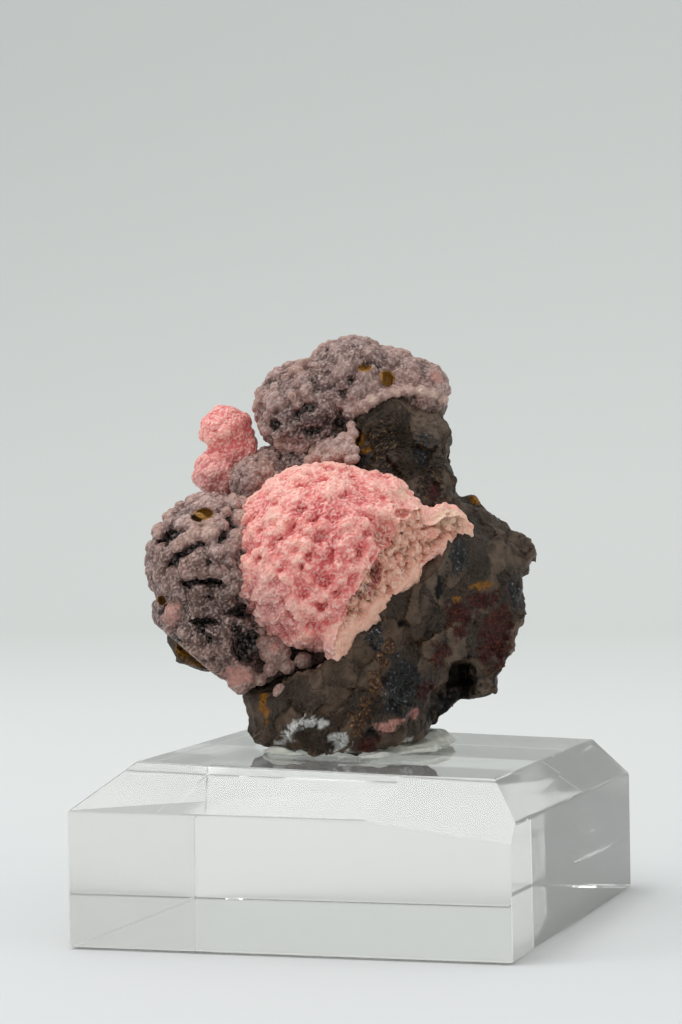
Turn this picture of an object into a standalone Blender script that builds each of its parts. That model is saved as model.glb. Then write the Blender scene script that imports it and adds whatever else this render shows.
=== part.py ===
# Rhodochrosite specimen on goethite, held by mineral tack on a clear acrylic display block.
#
# The block stands square to the world axes, with its front at -Y and its middle at the origin.
# The specimen is modelled in its own frame (across, back, up, in millimetres) and turned on the
# block by SPECIMEN_TURN, so that its best face looks towards the block's front right corner.
# Z is zero at the underside.
import math
import random

import bmesh
import bpy
import numpy as np
from mathutils import Matrix, Vector, noise

MM = 0.001

# Display block
BLOCK_WIDTH = 64.0
BLOCK_DEPTH = 66.6
# How far the hand-cut block is from square, and how far its rear left edge stands in.
BLOCK_OUT_OF_SQUARE = 1.9
BLOCK_REAR_LEFT_STEP = (0.5, 0.4)
BLOCK_EDGE_ROUND = 0.3
BLOCK_EDGE_SEGMENTS = 2
BLOCK_SHARPEST_PLAIN_EDGE = math.radians(15)
# Height of each upright edge, and the top's height over it, going round from front left.
BLOCK_SIDE_HEIGHTS = (19.1, 18.4, 18.1, 18.8)
BLOCK_TOP_HEIGHTS = (25.6, 23.75, 24.0, 25.9)
# How far each corner of the top stands in from the sides: (across, back).
BLOCK_TOP_INSETS = ((7.8, 6.8), (4.2, 6.2), (4.5, 5.6), (6.0, 6.0))

# Specimen
SPECIMEN_TURN = math.radians(17.5)
# The block's out-of-square corners put its middle this far from where it is drawn.
MIDDLE = Vector((BLOCK_OUT_OF_SQUARE / 2, -BLOCK_OUT_OF_SQUARE / 2, 0.0))
# How far a cutter stands out from the piece it is made from. The skins that are left keep
# about 0.3 mm between them once they are thinned out.
CUTTING_GAP = 0.45
# Size of the small cubes that join overlapping shapes into one skin.
ROCK_VOXEL = 0.7
DRUSE_VOXEL = 0.5
# How many times the faces of a ball are split.
FINE_BALL = 3
COARSE_BALL = 2

# The flat break that cuts the pink crust and runs on into the goethite.
BREAK_POINT = (2.0, -17.8, 51.9)
BREAK_NORMAL = (0.64, -0.72, -0.27)

# The wall of the pink ball, over the side crust that was broken through.
WALL_POINT = (2.2, -19.0, 52.0)
WALL_NORMAL = (0.87, -0.15, -0.49)

# The slanting break under the left druse, and how far the dark rim stands past it.
RIM_POINT = (-25.0, 0.0, 39.3)
RIM_NORMAL = (-0.66, -0.1, -0.75)
RIM_STANDS_OUT = 1.1

# Triangles left in each solid.
ROCK_TRIANGLES = 2700
PINK_TRIANGLES = 2080
LEFT_TRIANGLES = 1500
TOP_TRIANGLES = 1500
KNOB_TRIANGLES = 320
MIDDLE_TRIANGLES = 640
BEAD_TRIANGLES = 520
TACK_TRIANGLES = 300

# Corners of the goethite shards, as (across, back, up). Each shard is the hull of its corners.
FOOT_SHARD = (
    (-17.5, -7.0, 34.8), (-16.9, -7.5, 28.5), (-14.8, -8.5, 25.6), (-7.0, -14.0, 25.7),
    (-2.1, -16.6, 25.2), (2.0, -14.0, 25.6), (9.8, -5.5, 26.0), (12.6, -2.0, 28.4),
    (-12.0, -13.0, 31.5), (-8.0, -16.2, 34.0), (-3.6, -18.1, 39.2), (1.0, -16.8, 38.0),
    (4.0, -15.0, 32.5), (10.0, -9.5, 33.0), (-15.0, 5.0, 26.5), (-14.0, 7.0, 35.0),
    (-4.0, 15.0, 26.0), (8.0, 14.0, 26.5), (10.0, 17.0, 34.0), (-8.0, 17.0, 36.0),
)
MAIN_SHARD = (
    (-3.6, -18.1, 39.3), (6.7, -12.0, 47.5), (14.1, -7.8, 54.0), (16.4, -7.2, 58.0),
    (18.3, -4.9, 56.0), (19.6, -4.2, 49.5), (12.0, -9.6, 47.0), (4.0, -15.2, 40.5),
    (14.0, -8.0, 38.0), (19.5, -3.0, 42.0), (6.0, -12.0, 33.0), (12.0, -5.0, 30.5),
    (20.3, 0.5, 33.2), (23.0, 1.5, 38.0), (25.0, 2.5, 44.2), (26.0, 3.5, 50.0),
    (25.5, 7.0, 56.6), (22.4, 8.5, 60.4), (18.7, 5.0, 61.8), (16.0, -2.0, 61.5),
    (21.0, 19.0, 53.0), (18.0, 20.0, 38.0), (8.0, 24.0, 58.0), (4.0, 25.0, 44.0),
    (-8.0, 20.0, 40.0), (-8.0, 20.0, 56.0), (10.0, 18.0, 30.0), (-4.0, 4.0, 38.0),
)
UPPER_SHARD = (
    (1.5, -3.0, 75.6), (5.2, -2.4, 77.8), (10.3, 2.0, 77.8), (14.3, 4.5, 75.8),
    (1.0, -4.4, 72.8), (2.1, -6.0, 67.0), (6.5, -7.4, 65.4), (8.0, -9.2, 61.6),
    (12.4, -3.6, 71.0), (14.9, -4.8, 62.8), (13.6, -7.6, 61.8), (14.9, 6.0, 70.4),
    (15.4, 7.0, 64.5), (15.6, 7.0, 60.0), (11.0, 17.0, 74.0), (3.0, 18.0, 73.0),
    (-3.0, 14.0, 68.0), (-4.0, 6.0, 64.0), (12.0, 19.0, 60.0), (-2.0, 0.0, 62.0),
)
LEFT_SHARD = (
    (-10.0, 2.0, 66.0), (-14.0, 4.0, 65.0), (-20.0, 4.0, 57.0), (-22.0, 5.0, 47.0),
    (-16.0, 3.0, 40.0), (-8.0, 4.0, 38.0), (-6.0, 20.0, 42.0), (-14.0, 15.0, 46.0),
    (-15.0, 14.0, 58.0), (-6.0, 18.0, 66.0), (0.0, 6.0, 68.0), (2.0, 0.0, 60.0),
)
REAR_SHARD = (
    (-10.5, 9.0, 66.0), (-8.0, 14.0, 68.5), (0.0, 18.0, 70.5), (9.0, 18.0, 69.0),
    (14.0, 12.0, 66.0), (19.0, 14.0, 59.0), (17.0, 19.0, 52.0), (6.0, 23.5, 52.0),
    (-10.0, 19.5, 54.0), (-16.5, 12.5, 52.0), (-14.0, 14.0, 45.0), (0.0, 21.0, 42.0),
    (-2.0, 3.0, 62.0), (10.0, 2.0, 62.0), (-12.0, 5.0, 60.0), (0.0, 4.0, 48.0),
)
# The dark rim under the left druse, which reaches up into it.
RIM_SHARD = (
    (-30.3, -5.0, 43.8), (-29.3, -7.5, 41.6), (-27.6, -9.0, 39.7), (-25.7, -9.5, 38.5),
    (-23.4, -9.0, 37.8), (-21.6, -8.0, 37.0), (-29.4, 0.0, 42.4), (-27.0, 1.5, 39.4),
    (-23.4, 2.0, 37.4), (-20.4, 0.0, 36.4), (-24.0, -4.0, 46.0), (-20.0, -2.0, 42.0),
    (-22.0, 3.0, 44.0),
)
SHARDS = (FOOT_SHARD, MAIN_SHARD, UPPER_SHARD, LEFT_SHARD, REAR_SHARD, RIM_SHARD)

# Round nodules of goethite under the crusts: (across, back, up), radii.
LEFT_NODULES = (
    ((-18.5, 0.0, 51.5), (8.6, 8.6, 9.0)),
    ((-18.5, 0.0, 44.0), (8.8, 8.0, 8.4)),
)
NODULES = (
    ((-3.5, -3.0, 54.0), (9.4, 9.4, 9.4)),
    ((-2.0, 7.0, 74.5), (9.0, 8.0, 7.0)),
    ((8.0, 7.0, 75.6), (6.0, 6.0, 3.6)),
    ((-15.5, 4.5, 66.0), (3.4, 3.4, 4.4)),
    ((-16.5, 8.0, 64.0), (4.4, 4.2, 5.0)),
    ((26.0, 6.5, 53.6), (2.1, 2.3, 2.6)),
    ((17.8, 7.0, 62.4), (1.4, 1.6, 1.4)),
)
# Hollows: the cleft at the lower right, and a few pits.
ROCK_HOLLOWS = (
    ((14.6, -3.5, 33.2), (2.3, 8.0, 5.4)),
    ((4.5, -15.2, 29.0), (1.3, 1.8, 1.2)),
)
ROCK_ABOVE_BLOCK = 0.7
LEDGE_SPACING = 5.5
LEDGE_DEPTH = 1.5
STEP_SPACING = 6.9
STEP_DEPTH = 0.75
BUMP_SPACING = 2.4
BUMP_HEIGHT = 0.5
BUMP_ROUGHNESS = 0.8
BUMP_LAYERS = 3
# Share of the roughness that the flat break keeps, how near its plane and how square to it
# the skin has to be.
BREAK_ROUGHNESS = 0.15
BREAK_REACH = 1.0
BREAK_SQUARENESS = 0.8

# Lumps on a crust: the smallest and largest against the given size, how many there are on a
# lobe, how unevenly they are spread, how deep they are seated and how far in the core stands.
LUMP_SIZES = (0.75, 1.2)
LUMPS_ON_A_LOBE = 4.2
LUMP_SPREAD = 0.9
LUMP_SEAT = 0.95
CORE_INSET = 0.45
# Round lobes of the crusts: (across, back, up), radii, size of the lumps on them, seed.
BALL_LOBES = (
    ((-4.9, -8.0, 54.0), 13.9, 2.1, 11),
    ((2.2, -9.5, 59.4), 7.2, 1.8, 16),
)
SIDE_LOBES = (
    ((3.5, -9.0, 57.0), (8.5, 8.5, 7.2), 2.0, 12),
    ((1.5, -11.0, 49.5), (8.0, 8.0, 9.5), 2.0, 13),
    ((11.0, -6.5, 57.4), (6.2, 5.5, 4.6), 1.6, 14),
    ((-1.6, -14.8, 43.2), (3.8, 4.2, 5.2), 1.6, 15),
)
PINK_HOLLOWS = (
    ((4.8, -18.5, 57.4), (2.2, 3.2, 2.8)),
    ((3.2, -17.0, 51.4), (1.0, 2.4, 2.6)),
    ((7.2, -16.0, 60.2), (1.6, 2.0, 0.9)),
    ((11.8, -11.4, 57.1), (1.7, 2.0, 0.8)),
    ((2.4, -17.0, 48.6), (0.8, 2.0, 1.8)),
)
LEFT_LOBES = (
    ((-20.9, -6.0, 53.5), (10.4, 10.2, 10.4), 2.0, 21),
    ((-21.4, -5.5, 45.2), (9.2, 9.4, 8.8), 1.9, 22),
    ((-18.6, -8.0, 39.6), (4.0, 4.0, 3.8), 1.6, 23),
    ((-17.0, -8.2, 36.4), (2.7, 2.8, 2.3), 1.2, 24),
)
LEFT_HOLLOWS = (
    ((-21.9, -15.4, 50.4), (3.2, 2.2, 0.6)),
    ((-19.3, -15.0, 54.9), (0.9, 2.4, 0.9)),
    ((-28.6, -8.0, 47.6), (1.4, 1.6, 0.9)),
    ((-21.6, -14.0, 44.4), (2.0, 2.0, 0.7)),
    ((-22.3, -13.0, 60.4), (1.5, 1.8, 1.0)),
    ((-24.6, -13.6, 56.2), (1.8, 1.6, 0.6)),
    ((-16.4, -13.0, 46.4), (2.3, 4.0, 1.2)),
    ((-15.4, -12.0, 40.9), (3.1, 5.0, 2.9)),
)
TOP_LOBES = (
    ((-7.4, 3.6, 76.0), (8.2, 8.0, 8.0), 1.7, 31),
    ((-0.4, 4.5, 79.0), (8.4, 8.0, 8.4), 1.7, 32),
    ((9.0, 4.8, 78.8), (5.6, 5.4, 5.2), 1.5, 33),
    ((4.6, 5.4, 79.6), (6.6, 6.4, 6.0), 1.6, 36),
    ((-3.0, 11.0, 76.0), (8.0, 7.5, 7.0), 1.8, 34),
    ((6.0, 11.0, 77.0), (7.0, 6.5, 6.0), 1.8, 35),
)
TOP_EDGE_LUMPS = (
    ((1.6, -2.6, 76.2), 1.2), ((3.6, -1.6, 77.8), 1.2), ((5.8, -0.6, 78.4), 1.2),
    ((8.0, 0.4, 78.8), 1.3), ((10.2, 1.4, 78.6), 1.3), ((12.3, 2.6, 77.8), 1.2),
    ((13.6, 4.0, 76.9), 1.1),
)
TOP_HOLLOWS = (
    ((5.4, -0.8, 80.0), (1.0, 2.0, 1.1)),
    ((1.3, -2.6, 82.2), (1.1, 1.6, 0.6)),
    ((-12.8, -2.4, 73.7), (1.0, 1.8, 1.0)),
    ((-1.5, -3.0, 73.6), (1.2, 2.2, 0.9)),
)
MIDDLE_LOBES = (
    ((-14.9, 1.0, 65.4), (4.4, 4.4, 4.2), 1.5, 41),
    ((-12.6, 3.0, 68.0), (3.2, 3.2, 3.2), 1.5, 42),
    ((-8.6, 0.5, 67.2), (3.6, 3.2, 2.6), 1.3, 43),
    ((-3.4, -1.6, 69.2), (3.6, 3.0, 2.8), 1.3, 44),
)
MIDDLE_BEADS = (
    ((-6.8, -3.6, 68.5), 1.1), ((-4.6, -4.0, 69.5), 1.3), ((-2.3, -4.0, 71.2), 1.3),
    ((-0.5, -4.0, 72.6), 1.3), ((-0.1, -4.2, 70.1), 1.2), ((-3.1, -4.6, 68.6), 1.1),
)
KNOB_LOBES = (
    ((-19.7, 4.0, 73.2), (4.2, 3.9, 3.9)),
    ((-18.4, 4.2, 70.6), (3.3, 3.6, 3.6)),
    ((-20.8, 4.0, 66.9), (4.2, 3.9, 4.1)),
)
# Beads in the hollow between the two balls and the foot: centre, radius.
HOLLOW_BEADS = (
    ((-12.8, -9.4, 40.8), 2.8), ((-13.2, -9.0, 38.1), 1.3), ((-10.8, -9.2, 38.1), 1.3),
    ((-8.1, -9.2, 38.9), 1.8), ((-14.7, -9.0, 36.2), 1.0), ((-5.2, -12.0, 37.9), 1.0),
    ((-11.5, -11.0, 34.6), 1.5), ((-9.4, -11.0, 34.8), 1.2), ((-6.8, -12.0, 36.0), 1.0),
)
# Each bead stands on a stalk that reaches this far back, and is this much thinner.
BEAD_ROOT_DEPTH = -3.0
BEAD_STALK_WIDTH = 0.7
BEAD_STALK_OVERLAP = 0.6
BEAD_CRUST = (
    ((-10.2, -3.4, 38.4), (6.4, 1.6, 4.6)),
    ((-12.0, -3.6, 42.0), (3.2, 1.6, 3.2)),
)

# Pads of mineral tack, pressed flat on the block.
TACK_ABOVE_BLOCK = 0.25
TACK_PADS = (
    ((-8.8, -8.5, 25.0), (6.2, 6.0, 2.3)),
    ((-1.5, -9.0, 24.8), (8.0, 7.4, 2.3)),
    ((6.0, -3.0, 24.6), (6.6, 7.6, 2.6)),
    ((9.8, 5.0, 24.6), (5.2, 6.4, 3.2)),
    ((1.0, 6.0, 24.8), (9.0, 8.0, 2.6)),
    ((-7.5, 4.0, 25.0), (7.0, 7.0, 2.4)),
)

# A cut may miss the volume that it should leave by this much, in cubic millimetres.
CUT_SLACK = 1.0

# Finishes: colour, roughness, transmission, refractive index.
FINISHES = {
    "clear_acrylic": ((0.95, 0.96, 0.94), 0.03, 1.0, 1.49),
    "mineral_tack": ((0.62, 0.63, 0.58), 0.35, 0.4, 1.45),
    "goethite": ((0.035, 0.026, 0.022), 0.45, 0.0, 1.5),
    "pink_rhodochrosite": ((0.72, 0.30, 0.27), 0.35, 0.0, 1.6),
    "mauve_rhodochrosite": ((0.27, 0.19, 0.19), 0.4, 0.0, 1.6),
}


def world(across, back, up):
    """A point of the specimen's own frame, in millimetres, as world metres."""
    turned = Matrix.Rotation(SPECIMEN_TURN, 4, "Z") @ Vector((across, back, up))
    return (turned - MIDDLE) * MM


def world_direction(direction):
    """A direction of the specimen's own frame, turned with the specimen."""
    return (Matrix.Rotation(SPECIMEN_TURN, 4, "Z") @ Vector(direction)).normalized()


def clear_scene():
    """Removes every object, so that the script can run in any open file."""
    for item in list(bpy.data.objects):
        bpy.data.objects.remove(item, do_unlink=True)


def make_material(name):
    """A Principled material of one colour."""
    colour, roughness, transmission, ior = FINISHES[name]
    material = bpy.data.materials.new(name)
    material.use_nodes = True
    shader = material.node_tree.nodes["Principled BSDF"]
    shader.inputs["Base Color"].default_value = (*colour, 1.0)
    shader.inputs["Roughness"].default_value = roughness
    shader.inputs["Transmission Weight"].default_value = transmission
    shader.inputs["IOR"].default_value = ior
    return material


def make_object(name, bm, material=None):
    """A new object in the scene from a bmesh, which is freed."""
    mesh = bpy.data.meshes.new(name)
    bmesh.ops.recalc_face_normals(bm, faces=bm.faces)
    bm.to_mesh(mesh)
    bm.free()
    item = bpy.data.objects.new(name, mesh)
    bpy.context.scene.collection.objects.link(item)
    if material:
        mesh.materials.append(material)
    return item


def bake(item):
    """Replaces an object's mesh with what its modifiers make of it."""
    depsgraph = bpy.context.evaluated_depsgraph_get()
    depsgraph.update()
    old = item.data
    item.data = bpy.data.meshes.new_from_object(item.evaluated_get(depsgraph))
    item.modifiers.clear()
    item.data.name = item.name
    bpy.data.meshes.remove(old)


def remesh(item, voxel):
    """Joins what overlaps in a mesh into one closed skin of small even faces."""
    step = item.modifiers.new("One skin", "REMESH")
    step.mode = "VOXEL"
    step.voxel_size = voxel * MM
    bake(item)


def thin_out(item, triangles):
    """Collapses edges until about this many triangles are left."""
    item.data.calc_loop_triangles()
    step = item.modifiers.new("Fewer faces", "DECIMATE")
    step.ratio = min(1.0, triangles / len(item.data.loop_triangles))
    step.use_collapse_triangulate = True
    bake(item)


def volume(item):
    """The volume of a closed mesh, in cubic millimetres."""
    bm = bmesh.new()
    bm.from_mesh(item.data)
    result = bm.calc_volume() / MM ** 3
    bm.free()
    return result


def subtract(item, cutter):
    """Cuts one closed mesh out of another.

    The exact solver can drop the whole of a mesh where many edges nearly meet. Such a cut
    takes away more than the cutter holds, and is made again with the other solver.
    """
    before = item.data.copy()
    least = volume(item) - volume(cutter) - CUT_SLACK
    step = item.modifiers.new("Cut", "BOOLEAN")
    step.operation = "DIFFERENCE"
    step.object = cutter
    bake(item)
    if volume(item) < max(least, CUT_SLACK):
        item.data = before
        step = item.modifiers.new("Cut", "BOOLEAN")
        step.operation = "DIFFERENCE"
        step.solver = "MANIFOLD"
        step.object = cutter
        bake(item)
        return
    bpy.data.meshes.remove(before)


def keep_largest(item):
    """Drops loose crumbs, so that the solid is one closed body."""
    bm = bmesh.new()
    bm.from_mesh(item.data)
    unseen = set(bm.verts)
    islands = []
    while unseen:
        stack = [unseen.pop()]
        island = set(stack)
        while stack:
            for edge in stack.pop().link_edges:
                for vertex in edge.verts:
                    if vertex in unseen:
                        unseen.remove(vertex)
                        island.add(vertex)
                        stack.append(vertex)
        islands.append(island)
    islands.sort(key=len, reverse=True)
    crumbs = [vertex for island in islands[1:] for vertex in island]
    bmesh.ops.delete(bm, geom=crumbs, context="VERTS")
    bmesh.ops.triangulate(bm, faces=bm.faces)
    bm.to_mesh(item.data)
    bm.free()


def grown_copy(item):
    """A copy of a dense skin, moved out by the gap that touching pieces keep: a cutter."""
    bm = bmesh.new()
    bm.from_mesh(item.data)
    bm.normal_update()
    for vertex in bm.verts:
        vertex.co += vertex.normal * CUTTING_GAP * MM
    grown = make_object(item.name + "_bed", bm)
    remesh(grown, DRUSE_VOXEL)
    return grown


def box_of(item):
    """The lowest and highest corner of a mesh."""
    spots = np.empty(len(item.data.vertices) * 3)
    item.data.vertices.foreach_get("co", spots)
    spots = spots.reshape(-1, 3)
    return spots.min(axis=0), spots.max(axis=0)


def near(item, other):
    """Whether the boxes of two meshes overlap."""
    (low, high), (other_low, other_high) = box_of(item), box_of(other)
    return bool(np.all(low < other_high) and np.all(other_low < high))


def cut_off(item, point, normal):
    """Cuts off what lies past a plane of the world and closes the cut."""
    bm = bmesh.new()
    bm.from_mesh(item.data)
    geometry = list(bm.verts) + list(bm.edges) + list(bm.faces)
    cut = bmesh.ops.bisect_plane(
        bm, geom=geometry, plane_co=point, plane_no=normal, clear_outer=True, dist=0.001 * MM,
    )
    edges = [part for part in cut["geom_cut"] if isinstance(part, bmesh.types.BMEdge)]
    bmesh.ops.holes_fill(bm, edges=edges, sides=0)
    bm.to_mesh(item.data)
    bm.free()


def block_corners():
    """The corners of the block's floor, its sides' upper edge and its top, from front left."""
    half, deep = BLOCK_WIDTH / 2, BLOCK_DEPTH / 2
    step_in, step_forward = BLOCK_REAR_LEFT_STEP
    plan = (
        (-half, -deep - BLOCK_OUT_OF_SQUARE),
        (half, -deep),
        (half + BLOCK_OUT_OF_SQUARE, deep),
        (-half + step_in, deep - step_forward),
    )
    inward = ((1, 1), (-1, 1), (-1, -1), (1, -1))
    floor = [(Vector((x, y, 0.0)) - MIDDLE) * MM for x, y in plan]
    sides = [spot + Vector((0, 0, height * MM)) for spot, height in zip(floor, BLOCK_SIDE_HEIGHTS)]
    top = []
    for index, (x, y) in enumerate(plan):
        inset_x, inset_y = BLOCK_TOP_INSETS[index]
        x += inward[index][0] * inset_x
        y += inward[index][1] * inset_y
        top.append((Vector((x, y, BLOCK_TOP_HEIGHTS[index])) - MIDDLE) * MM)
    return floor, sides, top


def over_block(clearance):
    """The plane a little over the block's sloping top: a point and the way down."""
    front_left, front_right, rear_right = block_corners()[2][:3]
    up = (front_right - front_left).cross(rear_right - front_right).normalized()
    return front_left + up * clearance * MM, -up


def add_lump(bm, centre, radii, detail=FINE_BALL):
    """Adds an ellipsoid, given in the specimen's own frame, in millimetres."""
    across, back, up = (radii, radii, radii) if isinstance(radii, (int, float)) else radii
    place = (
        Matrix.Translation(world(*centre))
        @ Matrix.Rotation(SPECIMEN_TURN, 4, "Z")
        @ Matrix.Diagonal((across * MM, back * MM, up * MM, 1.0))
    )
    bmesh.ops.create_icosphere(bm, subdivisions=detail, radius=1.0, matrix=place)


def add_hull(bm, corners):
    """Adds the convex hull of corners given in the specimen's own frame."""
    verts = [bm.verts.new(world(*corner)) for corner in corners]
    hull = bmesh.ops.convex_hull(bm, input=verts)
    spare = [part for part in hull["geom_interior"] if isinstance(part, bmesh.types.BMVert)]
    bmesh.ops.delete(bm, geom=spare, context="VERTS")


def spread_points(count, seed):
    """Evenly spread directions on a ball, with a little unevenness."""
    picker = random.Random(seed)
    golden = math.pi * (3.0 - math.sqrt(5.0))
    for index in range(count):
        height = 1.0 - 2.0 * (index + 0.5) / count
        ring = math.sqrt(1.0 - height * height)
        angle = golden * index
        direction = Vector((math.cos(angle) * ring, math.sin(angle) * ring, height))
        nudge = Vector([picker.uniform(-1, 1) for _ in range(3)])
        direction += nudge * LUMP_SPREAD / math.sqrt(count)
        yield direction.normalized(), picker.random()


def add_druse_lobe(bm, centre, radii, lump, seed):
    """Adds a round lobe whose skin is covered with smaller lumps of about one size."""
    radii = Vector((radii, radii, radii)) if isinstance(radii, (int, float)) else Vector(radii)
    add_lump(bm, centre, tuple(radii - Vector((1, 1, 1)) * lump * CORE_INSET))
    mean = sum(radii) / 3
    count = int(LUMPS_ON_A_LOBE * (mean / lump) ** 2)
    smallest, largest = LUMP_SIZES
    for direction, pick in spread_points(count, seed):
        size = lump * (smallest + (largest - smallest) * pick)
        inner = Vector([radius - size * LUMP_SEAT for radius in radii])
        spot = Vector(centre) + Vector([inner[i] * direction[i] for i in range(3)])
        add_lump(bm, tuple(spot), size, detail=COARSE_BALL)


def rough_up(item):
    """Moves a rock's skin by noise: sharp-edged ledges and small bumps, less on the flat break."""
    plane = world(*BREAK_POINT)
    flat = world_direction(BREAK_NORMAL)
    for vertex, normal in [(v, v.normal.copy()) for v in item.data.vertices]:
        spot = vertex.co / MM
        ledge = abs(noise.noise(spot / LEDGE_SPACING)) * LEDGE_DEPTH
        step = noise.cell(spot / STEP_SPACING) * STEP_DEPTH
        bump = noise.fractal(spot / BUMP_SPACING, BUMP_ROUGHNESS, 2.0, BUMP_LAYERS) * BUMP_HEIGHT
        from_break = abs((vertex.co - plane).dot(flat)) / MM
        on_break = from_break < BREAK_REACH and normal.dot(flat) > BREAK_SQUARENESS
        share = BREAK_ROUGHNESS if on_break else 1.0
        vertex.co += normal * (bump - ledge - step) * share * MM


def make_block(material):
    """The bevelled acrylic block, cut and polished by hand, so a little uneven."""
    bm = bmesh.new()
    floor, sides, top = [[bm.verts.new(spot) for spot in ring] for ring in block_corners()]
    bm.faces.new(list(reversed(floor)))
    bm.faces.new(top)
    for low, high in ((floor, sides), (sides, top)):
        for i in range(4):
            j = (i + 1) % 4
            bm.faces.new((low[i], low[j], high[j], high[i]))
    block = make_object("display_block", bm, material)
    edge = block.modifiers.new("Eased edges", "BEVEL")
    edge.width = BLOCK_EDGE_ROUND * MM
    edge.segments = BLOCK_EDGE_SEGMENTS
    edge.limit_method = "ANGLE"
    edge.angle_limit = BLOCK_SHARPEST_PLAIN_EDGE


def make_rock(material):
    """The goethite: shards and nodules in one skin, roughened, with its breaks and hollows."""
    bm = bmesh.new()
    for centre, radii in LEFT_NODULES:
        add_lump(bm, centre, radii)
    left = make_object("left_nodules", bm)
    remesh(left, ROCK_VOXEL)
    rim = world_direction(RIM_NORMAL)
    cut_off(left, world(*RIM_POINT) + rim * RIM_STANDS_OUT * MM, rim)
    bm = bmesh.new()
    bm.from_mesh(left.data)
    bpy.data.objects.remove(left, do_unlink=True)
    for corners in SHARDS:
        add_hull(bm, corners)
    for centre, radii in NODULES:
        add_lump(bm, centre, radii)
    rock = make_object("goethite_matrix", bm, material)
    remesh(rock, ROCK_VOXEL)
    hollows = make_lumps("rock_hollows", ROCK_HOLLOWS)
    subtract(rock, hollows)
    bpy.data.objects.remove(hollows, do_unlink=True)
    remesh(rock, ROCK_VOXEL)
    rough_up(rock)
    cut_off(rock, *over_block(ROCK_ABOVE_BLOCK))
    remesh(rock, ROCK_VOXEL)
    bed = grown_copy(rock)
    thin_out(rock, ROCK_TRIANGLES)
    keep_largest(rock)
    return bed


def make_lumps(name, lumps):
    """A helper object of separate ellipsoids, used to cut hollows."""
    bm = bmesh.new()
    for centre, radii in lumps:
        add_lump(bm, centre, radii, detail=COARSE_BALL)
    return make_object(name, bm)


def make_crust(name, bm, material, triangles, cutters, hollows=(), breaks=()):
    """A crust: its lumps in one skin, with its hollows and breaks, cut clear of its bed."""
    crust = make_object(name, bm, material)
    remesh(crust, DRUSE_VOXEL)
    if hollows:
        holes = make_lumps(name + "_hollows", hollows)
        subtract(crust, holes)
        bpy.data.objects.remove(holes, do_unlink=True)
    for point, normal in breaks:
        cut_off(crust, world(*point), world_direction(normal))
    for cutter in cutters:
        if near(crust, cutter):
            subtract(crust, cutter)
    remesh(crust, DRUSE_VOXEL)
    keep_largest(crust)
    bed = grown_copy(crust)
    thin_out(crust, triangles)
    keep_largest(crust)
    return bed


def make_pink_druse(material, cutters):
    """The pink ball in front, with the crust that was broken through on its right."""
    bm = bmesh.new()
    for lobes, point, normal in (
        (BALL_LOBES, WALL_POINT, WALL_NORMAL),
        (BALL_LOBES + SIDE_LOBES, BREAK_POINT, BREAK_NORMAL),
    ):
        lumps = bmesh.new()
        for centre, radii, lump, seed in lobes:
            add_druse_lobe(lumps, centre, radii, lump, seed)
        half = make_object("pink_half", lumps)
        remesh(half, DRUSE_VOXEL)
        cut_off(half, world(*point), world_direction(normal))
        bm.from_mesh(half.data)
        bpy.data.objects.remove(half, do_unlink=True)
    return make_crust("pink_druse", bm, material, PINK_TRIANGLES, cutters, hollows=PINK_HOLLOWS)


def make_left_druse(material, cutters):
    """The mauve ball on the left, over the rim of goethite that it broke off with."""
    bm = bmesh.new()
    for centre, radii, lump, seed in LEFT_LOBES:
        add_druse_lobe(bm, centre, radii, lump, seed)
    return make_crust(
        "left_mauve_druse", bm, material, LEFT_TRIANGLES, cutters,
        hollows=LEFT_HOLLOWS, breaks=((RIM_POINT, RIM_NORMAL),),
    )


def make_top_druse(material, cutters):
    """The mauve dome on top, with its pale broken edge along the goethite."""
    bm = bmesh.new()
    for centre, radii, lump, seed in TOP_LOBES:
        add_druse_lobe(bm, centre, radii, lump, seed)
    for centre, radius in TOP_EDGE_LUMPS:
        add_lump(bm, centre, radius, detail=COARSE_BALL)
    return make_crust("top_mauve_druse", bm, material, TOP_TRIANGLES, cutters, hollows=TOP_HOLLOWS)


def make_middle_druse(material, cutters):
    """The mauve lumps in the saddle between the knob, the dome and the pink ball."""
    bm = bmesh.new()
    for centre, radii, lump, seed in MIDDLE_LOBES:
        add_druse_lobe(bm, centre, radii, lump, seed)
    for centre, radius in MIDDLE_BEADS:
        add_lump(bm, centre, radius, detail=COARSE_BALL)
    return make_crust("middle_mauve_druse", bm, material, MIDDLE_TRIANGLES, cutters)


def make_knob(material, cutters):
    """The smooth pink knob of two lobes, one over the other."""
    bm = bmesh.new()
    for centre, radii in KNOB_LOBES:
        add_lump(bm, centre, radii)
    return make_crust("pink_knob", bm, material, KNOB_TRIANGLES, cutters)


def make_beads(material, cutters):
    """The mauve beads in the hollow, grown together on one thin crust."""
    bm = bmesh.new()
    for (across, back, up), radius in HOLLOW_BEADS:
        add_lump(bm, (across, back, up), radius)
        half_stalk = (BEAD_ROOT_DEPTH - back) / 2
        thickness = radius * BEAD_STALK_WIDTH
        length = half_stalk + radius * BEAD_STALK_OVERLAP
        spot = (across, back + half_stalk, up)
        add_lump(bm, spot, (thickness, length, thickness), detail=COARSE_BALL)
    for centre, radii in BEAD_CRUST:
        add_lump(bm, centre, radii)
    return make_crust("hollow_beads", bm, material, BEAD_TRIANGLES, cutters)


def make_tack(material, cutters):
    """The pressed pads of mineral tack that hold the rock on the block."""
    bm = bmesh.new()
    for centre, radii in TACK_PADS:
        add_lump(bm, centre, radii)
    tack = make_object("mineral_tack", bm, material)
    remesh(tack, DRUSE_VOXEL)
    cut_off(tack, *over_block(TACK_ABOVE_BLOCK))
    for cutter in cutters:
        subtract(tack, cutter)
    remesh(tack, DRUSE_VOXEL)
    keep_largest(tack)
    thin_out(tack, TACK_TRIANGLES)
    keep_largest(tack)


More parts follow.
